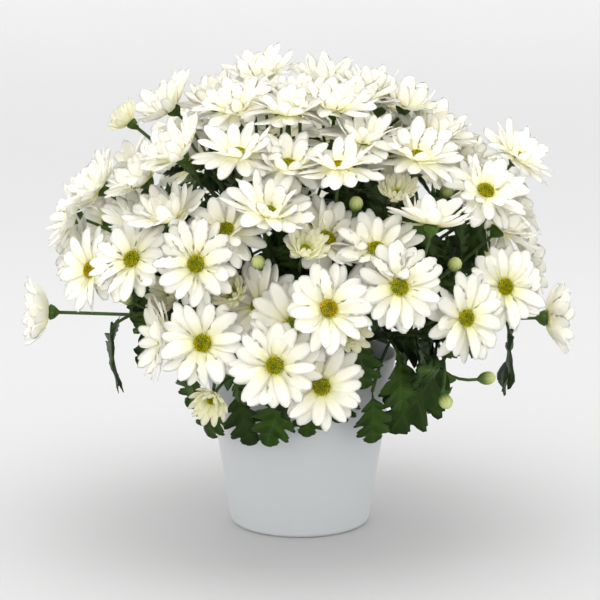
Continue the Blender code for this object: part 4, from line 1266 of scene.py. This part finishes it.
smallLeaves = {
    "onStalks": (0.12, 0.28, 0.44, 0.60, 0.78),  # shares of a stalk's way where leaves leave it
    "onBranches": (0.34, 0.46, 0.58, 0.70, 0.82, 0.92, 1.0),
    "sooner": 0.06,  # up to so much sooner
    "stalkLength": (0.028, 0.044),
    "branchLength": (0.036, 0.056),
    "rise": 0.8,
    "shortest": 0.014,
    "shorten": 0.85,
    "depth": 0.84,  # how near to the dome's surface their tips come, as a share of its size
}


def fillLeaves(lines, shares, span):
    # Leaves at shares of the way along curved stems: their frames and lengths. Each points its own
    # way round the stem, and is shortened until its tip is well inside the dome.
    frames, lengths = [], []
    limit = smallLeaves["depth"] ** dome["power"]
    for start, middle, end in lines:
        for share in shares:
            share = share + chance.uniform(-smallLeaves["sooner"], 0.0)
            point = bendAt(start, middle, end, share)
            way = ((middle - start) * (1 - share) + (end - middle) * share).normalized()
            spin = Matrix.Rotation(chance.uniform(0.0, fullTurn), 3, way)
            ahead = (spin @ way.orthogonal().normalized() + way * smallLeaves["rise"]).normalized()
            length = chance.uniform(*span)
            while length > smallLeaves["shortest"] and domeDepth(
                    np.array(point + ahead * length)[None])[0] > limit:
                length *= smallLeaves["shorten"]
            if length > smallLeaves["shortest"]:
                frames.append(leafAxes(point, ahead, way))
                lengths.append(length)
    return frames, lengths


def addLeaves(skin, frames, lengths, outline, shares):
    # Leaves of these lengths, each in its frame.
    points, marks = leafRings(len(frames), outline, shares)
    skin.add(inFrames(points * np.array(lengths)[:, None, None, None], stacked(frames)), marks)


greenFinish = {
    # roughness, dark and light colour, and the scale of the clouds between them
    "stem": (0.55, (0.055, 0.095, 0.025), (0.10, 0.16, 0.045), 90.0),
    "calyx": (0.6, (0.06, 0.12, 0.02), (0.11, 0.19, 0.04), 220.0),
    "leaf": (0.42, (0.013, 0.040, 0.002), (0.036, 0.092, 0.004), 45.0),
    "specular": 0.14,
    "grainScale": 700.0,
    "relief": (0.3, 0.0003),
    "bractEdge": (0.28, 0.32, 0.13),  # colour of the creases between bracts, and how wide
    "bractEdgeTo": 0.18,
    "vein": (0.28, (0.115, 0.19, 0.030)),  # how strong, and its colour
    "underside": (0.65, (0.075, 0.12, 0.055)),
    "tones": (0.5, 1.2),
}


def greenMaterial(name, roughness, dark, light, scale):
    material, shader = newMaterial(name, roughness)
    cloud = noise(material, scale)
    colour = ramp(material, cloud, (0.3, dark), (0.7, light))
    join(material, colour, shader.inputs["Base Color"])
    bump(material, shader, noise(material, greenFinish["grainScale"]), *greenFinish["relief"])
    shader.inputs["Specular IOR Level"].default_value = greenFinish["specular"]
    return material, shader, colour


stemGreen, _, _ = greenMaterial("stemGreen", *greenFinish["stem"])
calyxGreen, calyxShader, calyxColour = greenMaterial("calyxGreen", *greenFinish["calyx"])
edge = ramp(calyxGreen, mark(calyxGreen, "across"), (0.0, (1.0, 1.0, 1.0)),
            (greenFinish["bractEdgeTo"], (0.0, 0.0, 0.0)))
join(calyxGreen, blend(calyxGreen, "MIX", edge, calyxColour, greenFinish["bractEdge"]),
     calyxShader.inputs["Base Color"])

leafGreen, leafShader, leafColour = greenMaterial("leafGreen", *greenFinish["leaf"])
for where, (strength, colour) in (
        ("along", greenFinish["vein"]), ("across", greenFinish["underside"])):
    share = arithmetic(leafGreen, "MULTIPLY", mark(leafGreen, where), strength)
    leafColour = blend(leafGreen, "MIX", share, leafColour, colour)
leafColour = blend(leafGreen, "MULTIPLY", 1.0, leafColour,
                   grey(leafGreen, mark(leafGreen, "tone"), *greenFinish["tones"]))
join(leafGreen, leafColour, leafShader.inputs["Base Color"])

discFinish = {
    # colours from the middle of the disc to its rim, each with its place
    "fresh": ((0.0, (0.33, 0.33, 0.001)), (0.55, (0.46, 0.42, 0.001)),
              (0.85, (0.58, 0.50, 0.003)), (1.0, (0.78, 0.62, 0.006))),
    "ripe": ((0.0, (0.44, 0.34, 0.002)), (0.6, (0.62, 0.44, 0.003)), (1.0, (0.84, 0.58, 0.006))),
    "ripeness": ((0.72, (0, 0, 0)), (0.95, (1, 1, 1))),  # which blooms are ripe, by their tone
    "paintedFootShade": ((0.0, (0.35, 0.35, 0.3)), (0.7, (1, 1, 1))),  # painted shade between the florets, darkest at a floret's foot and gone towards its top
    "specks": ((0.40, (0.42, 0.50, 0.6)), (0.56, (1.12, 1.08, 1.0))),
    "speckScale": 650.0,
    "roughness": 0.8,
    "specular": 0.05,
    "grainScale": 1500.0,
    "relief": (0.3, 0.0002),
}
discYellow, discShader = newMaterial("discYellow", discFinish["roughness"])
discShader.inputs["Specular IOR Level"].default_value = discFinish["specular"]
fresh = ramp(discYellow, mark(discYellow, "across"), *discFinish["fresh"])
ripe = ramp(discYellow, mark(discYellow, "across"), *discFinish["ripe"])
ripeness = ramp(discYellow, mark(discYellow, "tone"), *discFinish["ripeness"])
discColour = blend(discYellow, "MIX", ripeness, fresh, ripe)
# painted shade: each floret is darkened towards its foot, where the florets crowd together
paintedFootShade = ramp(discYellow, mark(discYellow, "along"), *discFinish["paintedFootShade"])
discColour = blend(discYellow, "MULTIPLY", 1.0, discColour, paintedFootShade)
specks = ramp(discYellow, noise(discYellow, discFinish["speckScale"], 1.0, 0.5),
              *discFinish["specks"])
discColour = blend(discYellow, "MULTIPLY", 1.0, discColour, specks)
join(discYellow, discColour, discShader.inputs["Base Color"])
bump(discYellow, discShader, noise(discYellow, discFinish["grainScale"]), *discFinish["relief"])

creamPetal = petalMaterial("creamPetal", petalFinish["cream"])

budFinish = {
    # colours from the bud's foot to its tip, each with its place, and the painted shade in the
    # creases between its folds
    "skin": ((0.0, (0.07, 0.13, 0.02)), (0.34, (0.12, 0.20, 0.04)), (0.55, (0.32, 0.38, 0.09)),
             (1.0, (0.60, 0.64, 0.25))),
    # painted shade: darker in the creases between the folds, plain from the middle of a fold
    # outwards
    "folds": ((0.0, (0.45, 0.5, 0.3)), (0.5, (1, 1, 1))),
    "creaseShadeStrength": 0.6,
    "roughness": 0.55,
    "grainScale": 800.0,
    "relief": (0.3, 0.0003),
}
budCream, budShader = newMaterial("budCream", budFinish["roughness"])
budColour = ramp(budCream, mark(budCream, "along"), *budFinish["skin"])
# painted shade: the creases between the folds are darkened
budColour = blend(budCream, "MULTIPLY", budFinish["creaseShadeStrength"], budColour,
                  ramp(budCream, mark(budCream, "across"), *budFinish["folds"]))
join(budCream, budColour, budShader.inputs["Base Color"])
bump(budCream, budShader, noise(budCream, budFinish["grainScale"]), *budFinish["relief"])

print("stems, leaves and heads")
for k in range(plants["count"]):
    node = f"plant_{k + 1}"
    own = [head for head in heads if head["plant"] == k]
    opened, young, closed = (
        [head for head in own if head["kind"] == kind] for kind in ("bloom", "young", "bud"))
    ownLeaves = [leaf for leaf in leaves if leaf["plant"] == k]
    branchLines = [branch["ends"] for branch in branches if branch["plant"] == k]
    stalkLines = [head["stalk"] for head in own]
    leafLines = [leaf["stalk"] for leaf in ownLeaves if "stalk" in leaf]

    stems, shape = Skin(), stemShape
    foot = plantFoot(k)
    low = foot - up * plants["mainDepth"]
    high = foot + up * (plants["mainRise"] + shape["mainOver"])
    radii = plants["mainRadius"] * np.array(shape["mainRadii"])
    line, ways = curve(stacked([stacked((low, low.lerp(high, 0.5), high))]), len(radii))
    rings = tubeRings(line, ways, radii, shape["mainSides"], shape["mainRibs"],
                      shape["mainRibDepth"])
    stems.add(rings)
    for lines, radius, taper, steps in (
            (branchLines, plants["branchRadius"], shape["branchTaper"], shape["branchSteps"]),
            (stalkLines + leafLines, plants["stalkRadius"], shape["stalkTaper"],
             shape["stalkSteps"])):
        line, ways = curve(stacked([stacked(ends) for ends in lines]), steps)
        rings = tubeRings(line, ways, radius * np.linspace(*taper, steps), shape["sides"],
                          shape["ribs"], shape["ribDepth"])
        stems.add(rings)
    stems.make(f"stems_{k + 1}", stemGreen, "greens", node)

    blades = Skin()
    addLeaves(blades, [leaf["frame"] for leaf in ownLeaves], [leaf["size"] for leaf in ownLeaves],
              leafOutline, leafShape["shares"])
    frames, lengths = fillLeaves(stalkLines, smallLeaves["onStalks"], smallLeaves["stalkLength"])
    more = fillLeaves(branchLines, smallLeaves["onBranches"], smallLeaves["branchLength"])
    addLeaves(blades, frames + more[0], lengths + more[1],
              leafOutline[list(leafShape["smallRows"])], leafShape["smallShares"])
    blades.make(f"leaves_{k + 1}", leafGreen, "greens", node)

    calyxes, discs = Skin(), Skin()
    for members, shape in ((opened, headShape), (young, youngShape)):
        if members:
            frames = stacked([head["frame"] for head in members])
            calyxes.add(*calyxRings(frames, shape["calyx"], shape["bracts"]))
            discs.add(*floretRings(frames, shape))
    if young:
        petals = Skin()
        for head in young:
            addPetals(petals, head, youngRings)
        petals.make(f"young_petals_{k + 1}", creamPetal, "petals", node)
    calyxes.make(f"calyxes_{k + 1}", calyxGreen, "greens", node)
    discs.make(f"discs_{k + 1}", discYellow, "greens", node)
    if closed:
        shut = Skin()
        shut.add(*budRings(stacked([head["frame"] for head in closed])))
        shut.make(f"buds_{k + 1}", budCream, "greens", node)


# Pot
pot = {
    "height": 0.140,
    "rimRadius": 0.078,
    "footRadius": 0.057,
    "wall": 0.0026,
    "floor": 0.0036,
    "footRound": 0.004,
    "rimRound": 0.0008,
    "sides": 128,
    "roundSteps": 8,
    "middle": 0.0004,  # radius of the first and last ring
    "flat": 0.03,
    "white": (0.68, 0.70, 0.71),
    "cloudScale": 14.0,
    "clouds": (0.97, 1.02),
    "roughness": 0.42,
    "sheenScale": 40.0,
    "duller": (-0.06, 0.08),  # how far the roughness goes below and above, in patches
    "grainScale": 420.0,
    "relief": (0.12, 0.0004),
}
potSlope = (pot["rimRadius"] - pot["footRadius"]) / pot["height"]


def lathe(profile, sides):
    # A profile carried round the axis. It starts in the middle below, and ends in the middle above
    # or inside, so that the faces point outwards.
    return turned(*profileRings(profile, sides))[None]


def potProfile():
    # Straight lines for the foot, the side, the wall inside and the floor, joined by quarter
    # circles at the foot and on both edges of the rim.
    rounds = np.radians(np.linspace(0.0, 90.0, pot["roundSteps"]))
    foot = [(pot["footRadius"] - pot["footRound"] * (1 - math.sin(turn)),
             pot["footRound"] * (1 - math.cos(turn))) for turn in rounds]
    side = [(mixed(foot[-1][0], pot["rimRadius"], share),
             mixed(foot[-1][1], pot["height"], share)) for share in (0.03, 0.25, 0.5, 0.75, 0.97)]
    ease = pot["rimRound"]
    outer, inner = pot["rimRadius"], pot["rimRadius"] - pot["wall"]
    rim = [(outer - ease * (1 - math.cos(turn)), pot["height"] - ease * (1 - math.sin(turn)))
           for turn in rounds[::2]]
    rim += [(inner + ease * (1 - math.sin(turn)), pot["height"] - ease * (1 - math.cos(turn)))
            for turn in rounds[::2]]
    floorRadius = pot["footRadius"] + potSlope * pot["floor"] - pot["wall"]
    inside = [(mixed(inner, floorRadius, share), mixed(pot["height"], pot["floor"], share))
              for share in (0.05, 0.4, 0.8, 0.98, 1.0)]
    return [(pot["middle"], 0.0), (pot["flat"], 0.0), *foot, *side, *rim, *inside,
            (pot["flat"], pot["floor"]), (pot["middle"], pot["floor"])]


print("pot and soil")
potWhite, potShader = newMaterial("potWhite", pot["roughness"])
tint = grey(potWhite, noise(potWhite, pot["cloudScale"]), *pot["clouds"])
join(potWhite, blend(potWhite, "MULTIPLY", 1.0, pot["white"], tint),
     potShader.inputs["Base Color"])
duller = (pot["roughness"] + change for change in pot["duller"])
join(potWhite, grey(potWhite, noise(potWhite, pot["sheenScale"]), *duller),
     potShader.inputs["Roughness"])
bump(potWhite, potShader, noise(potWhite, pot["grainScale"], 4.0), *pot["relief"])
shell = Skin()
shell.add(lathe(potProfile(), pot["sides"]))
shell.make("pot_shell", potWhite, "pot", "pot")

# Soil. The bed follows the pot's wall and floor, and products of sines make its top uneven
soilRoom = pot["footRadius"] - pot["wall"] - 2 * soil["gap"]
soilRadius = soilRoom + potSlope * soil["top"]
low, shoulder = pot["floor"] + soil["gap"], soil["top"] - soil["edge"]
profile = [(pot["middle"], low), (soilRoom + potSlope * low, low),
           (soilRoom + potSlope * shoulder, shoulder)]
profile += [(soilRadius * share, soil["top"]) for share in np.linspace(0.99, 0.01, soil["rings"])]
ground = lathe(profile, soil["sides"])
x, y = ground[..., 0], ground[..., 1]
rough = np.sin(190 * x + 1.3) * np.sin(170 * y) + 0.6 * np.sin(410 * x) * np.sin(380 * y + 0.7)
rough = rough + 0.5 * np.sin(800 * (x + y)) * np.sin(760 * (x - y) + 0.4)
ground[..., 2] += np.where(ground[..., 2] > shoulder + 0.5 * soil["edge"],
                           soil["unevenness"] * (rough - 1.2) * 0.6, 0.0)
soilBrown, soilShader = newMaterial("soilBrown", soil["roughness"])
soilColour = ramp(soilBrown, noise(soilBrown, soil["grainScale"], 6.0, 0.7), *soil["brown"])
pale = arithmetic(soilBrown, "GREATER_THAN", mark(soilBrown, "tone"), soil["lightFrom"])
join(soilBrown, blend(soilBrown, "MIX", pale, soilColour, soil["light"]),
     soilShader.inputs["Base Color"])
bump(soilBrown, soilShader, noise(soilBrown, soil["reliefScale"], 6.0, 0.7), *soil["relief"])
bed = Skin()
bed.add(ground)

# The crumbs are three rings each, uneven at random, strewn over the bed.
count, sides = soil["crumbs"], soil["crumbSides"]
place = np.sqrt(chance.uniform(0.0, 1.0, count)) * (soilRadius - soil["crumbMargin"])
turn = chance.uniform(0.0, fullTurn, count)
size = chance.uniform(*soil["crumbSize"], count)[:, None, None]
own = np.arange(sides) * fullTurn / sides + chance.uniform(0.0, fullTurn, (count, 1, 1))
radii, heights = (
    np.array(soil[key])[None, :, None] * chance.uniform(least, 1.1, (count, 3, sides)) * size
    for key, least in (("crumbRadii", 0.6), ("crumbHeights", 0.7)))
crumbs = np.stack([
    radii * np.cos(own) + (place * np.cos(turn))[:, None, None],
    radii * np.sin(own) + (place * np.sin(turn))[:, None, None], heights + soil["top"]], axis=-1)
marks = np.zeros((count, 3, sides, 3))
marks[..., 2] = chance.uniform(0.0, 1.0, count)[:, None, None]
bed.add(crumbs, marks)
bed.make("soil_bed", soilBrown, "soil", "soil")

# Floor, light and camera
studio = {
    # painted light: the same paper is coloured darker on the floor than up the wall, standing in
    # for the brighter light on the wall
    "floor": (0.65, 0.65, 0.65),
    "wall": (0.78, 0.78, 0.79),
    "colourSpan": (0.0, 0.5),  # the heights between which the floor's colour becomes the wall's lighter one: painted light, the wall lit brighter than the floor of the same paper
    "roughness": 0.75,
    "cloudScale": 3.0,
    "clouds": (0.985, 1.0),
    "grainScale": 500.0,
    "relief": (0.05, 0.0003),
    "flatRadius": 1.5,
    "radius": 5.2,
    "rise": 1.0,
    "sides": 96,
    "steps": 25,
    "world": (1.0, 1.0, 1.0),
    "worldStrength": 1.12,
    # place, size and power of each soft light, and what they aim at
    "lights": (
        ((-1.3, -2.0, 1.6), 2.2, 8.0), ((1.7, -1.8, 1.3), 2.2, 3.0), ((0.0, -0.1, 2.6), 2.6, 21.0),
    ),
    "aim": (0.0, 0.0, 0.2),
}
print("floor, light and camera")

# The floor is a wide bowl, flat in the middle, whose height grows with the square of the distance
# beyond.
reach = np.linspace(0.0, 1.0, studio["steps"])
bowl = [(share * studio["flatRadius"], 0.0) for share in (0.001, 0.1, 0.3, 0.6)]
bowl += list(zip(mixed(studio["flatRadius"], studio["radius"], reach), studio["rise"] * reach ** 2))
rings = lathe(bowl, studio["sides"])[0]
points = np.vstack([(0.0, 0.0, 0.0), rings.reshape(-1, 3)])
quads, triangles = sweepFaces(len(rings), studio["sides"])
faces = [*quads[:, ::-1].tolist(), *triangles[:studio["sides"], ::-1].tolist()]
mesh = bpy.data.meshes.new("backdrop")
mesh.from_pydata(points.tolist(), [], faces)
mesh.shade_smooth()
backdrop = linked("backdrop", mesh)
paper, paperShader = newMaterial("paper", studio["roughness"])
tint = grey(paper, noise(paper, studio["cloudScale"]), *studio["clouds"])
height = put(paper, "ShaderNodeSeparateXYZ", {"Vector": objectPlace(paper)}).outputs["Z"]
low, high = studio["colourSpan"]
rise = put(paper, "ShaderNodeMapRange", {"Value": height, "From Min": low, "From Max": high},
           interpolation_type="SMOOTHSTEP").outputs["Result"]
# painted light: the paper lightens from floor to wall with height
paperColour = blend(paper, "MIX", rise, studio["floor"], studio["wall"])
join(paper, blend(paper, "MULTIPLY", 1.0, paperColour, tint), paperShader.inputs["Base Color"])
bump(paper, paperShader, noise(paper, studio["grainScale"]), *studio["relief"])
mesh.materials.append(paper)

for k, (place, size, power) in enumerate(studio["lights"]):
    light = bpy.data.lights.new(f"soft_{k + 1}", "AREA")
    light.size = size
    light.energy = power
    lamp = linked(f"soft_{k + 1}", light)
    lamp.location = place
    aim = Vector(studio["aim"]) - Vector(place)
    lamp.rotation_euler = aim.to_track_quat("-Z", "Y").to_euler()

world = bpy.data.worlds.new("studio")
world.use_nodes = True
background = world.node_tree.nodes["Background"]
background.inputs["Color"].default_value = (*studio["world"], 1.0)
background.inputs["Strength"].default_value = studio["worldStrength"]
bpy.context.scene.world = world
bpy.context.scene.view_settings.view_transform = "Standard"

eye = bpy.data.cameras.new("camera")
eye.lens, eye.sensor_width = camera["lens"], camera["sensor"]
eyeObject = linked("camera", eye)
eyeObject.location = camera["place"]
eyeObject.rotation_euler = (math.radians(90.0 - camera["pitch"]), 0.0, 0.0)
bpy.context.scene.camera = eyeObject
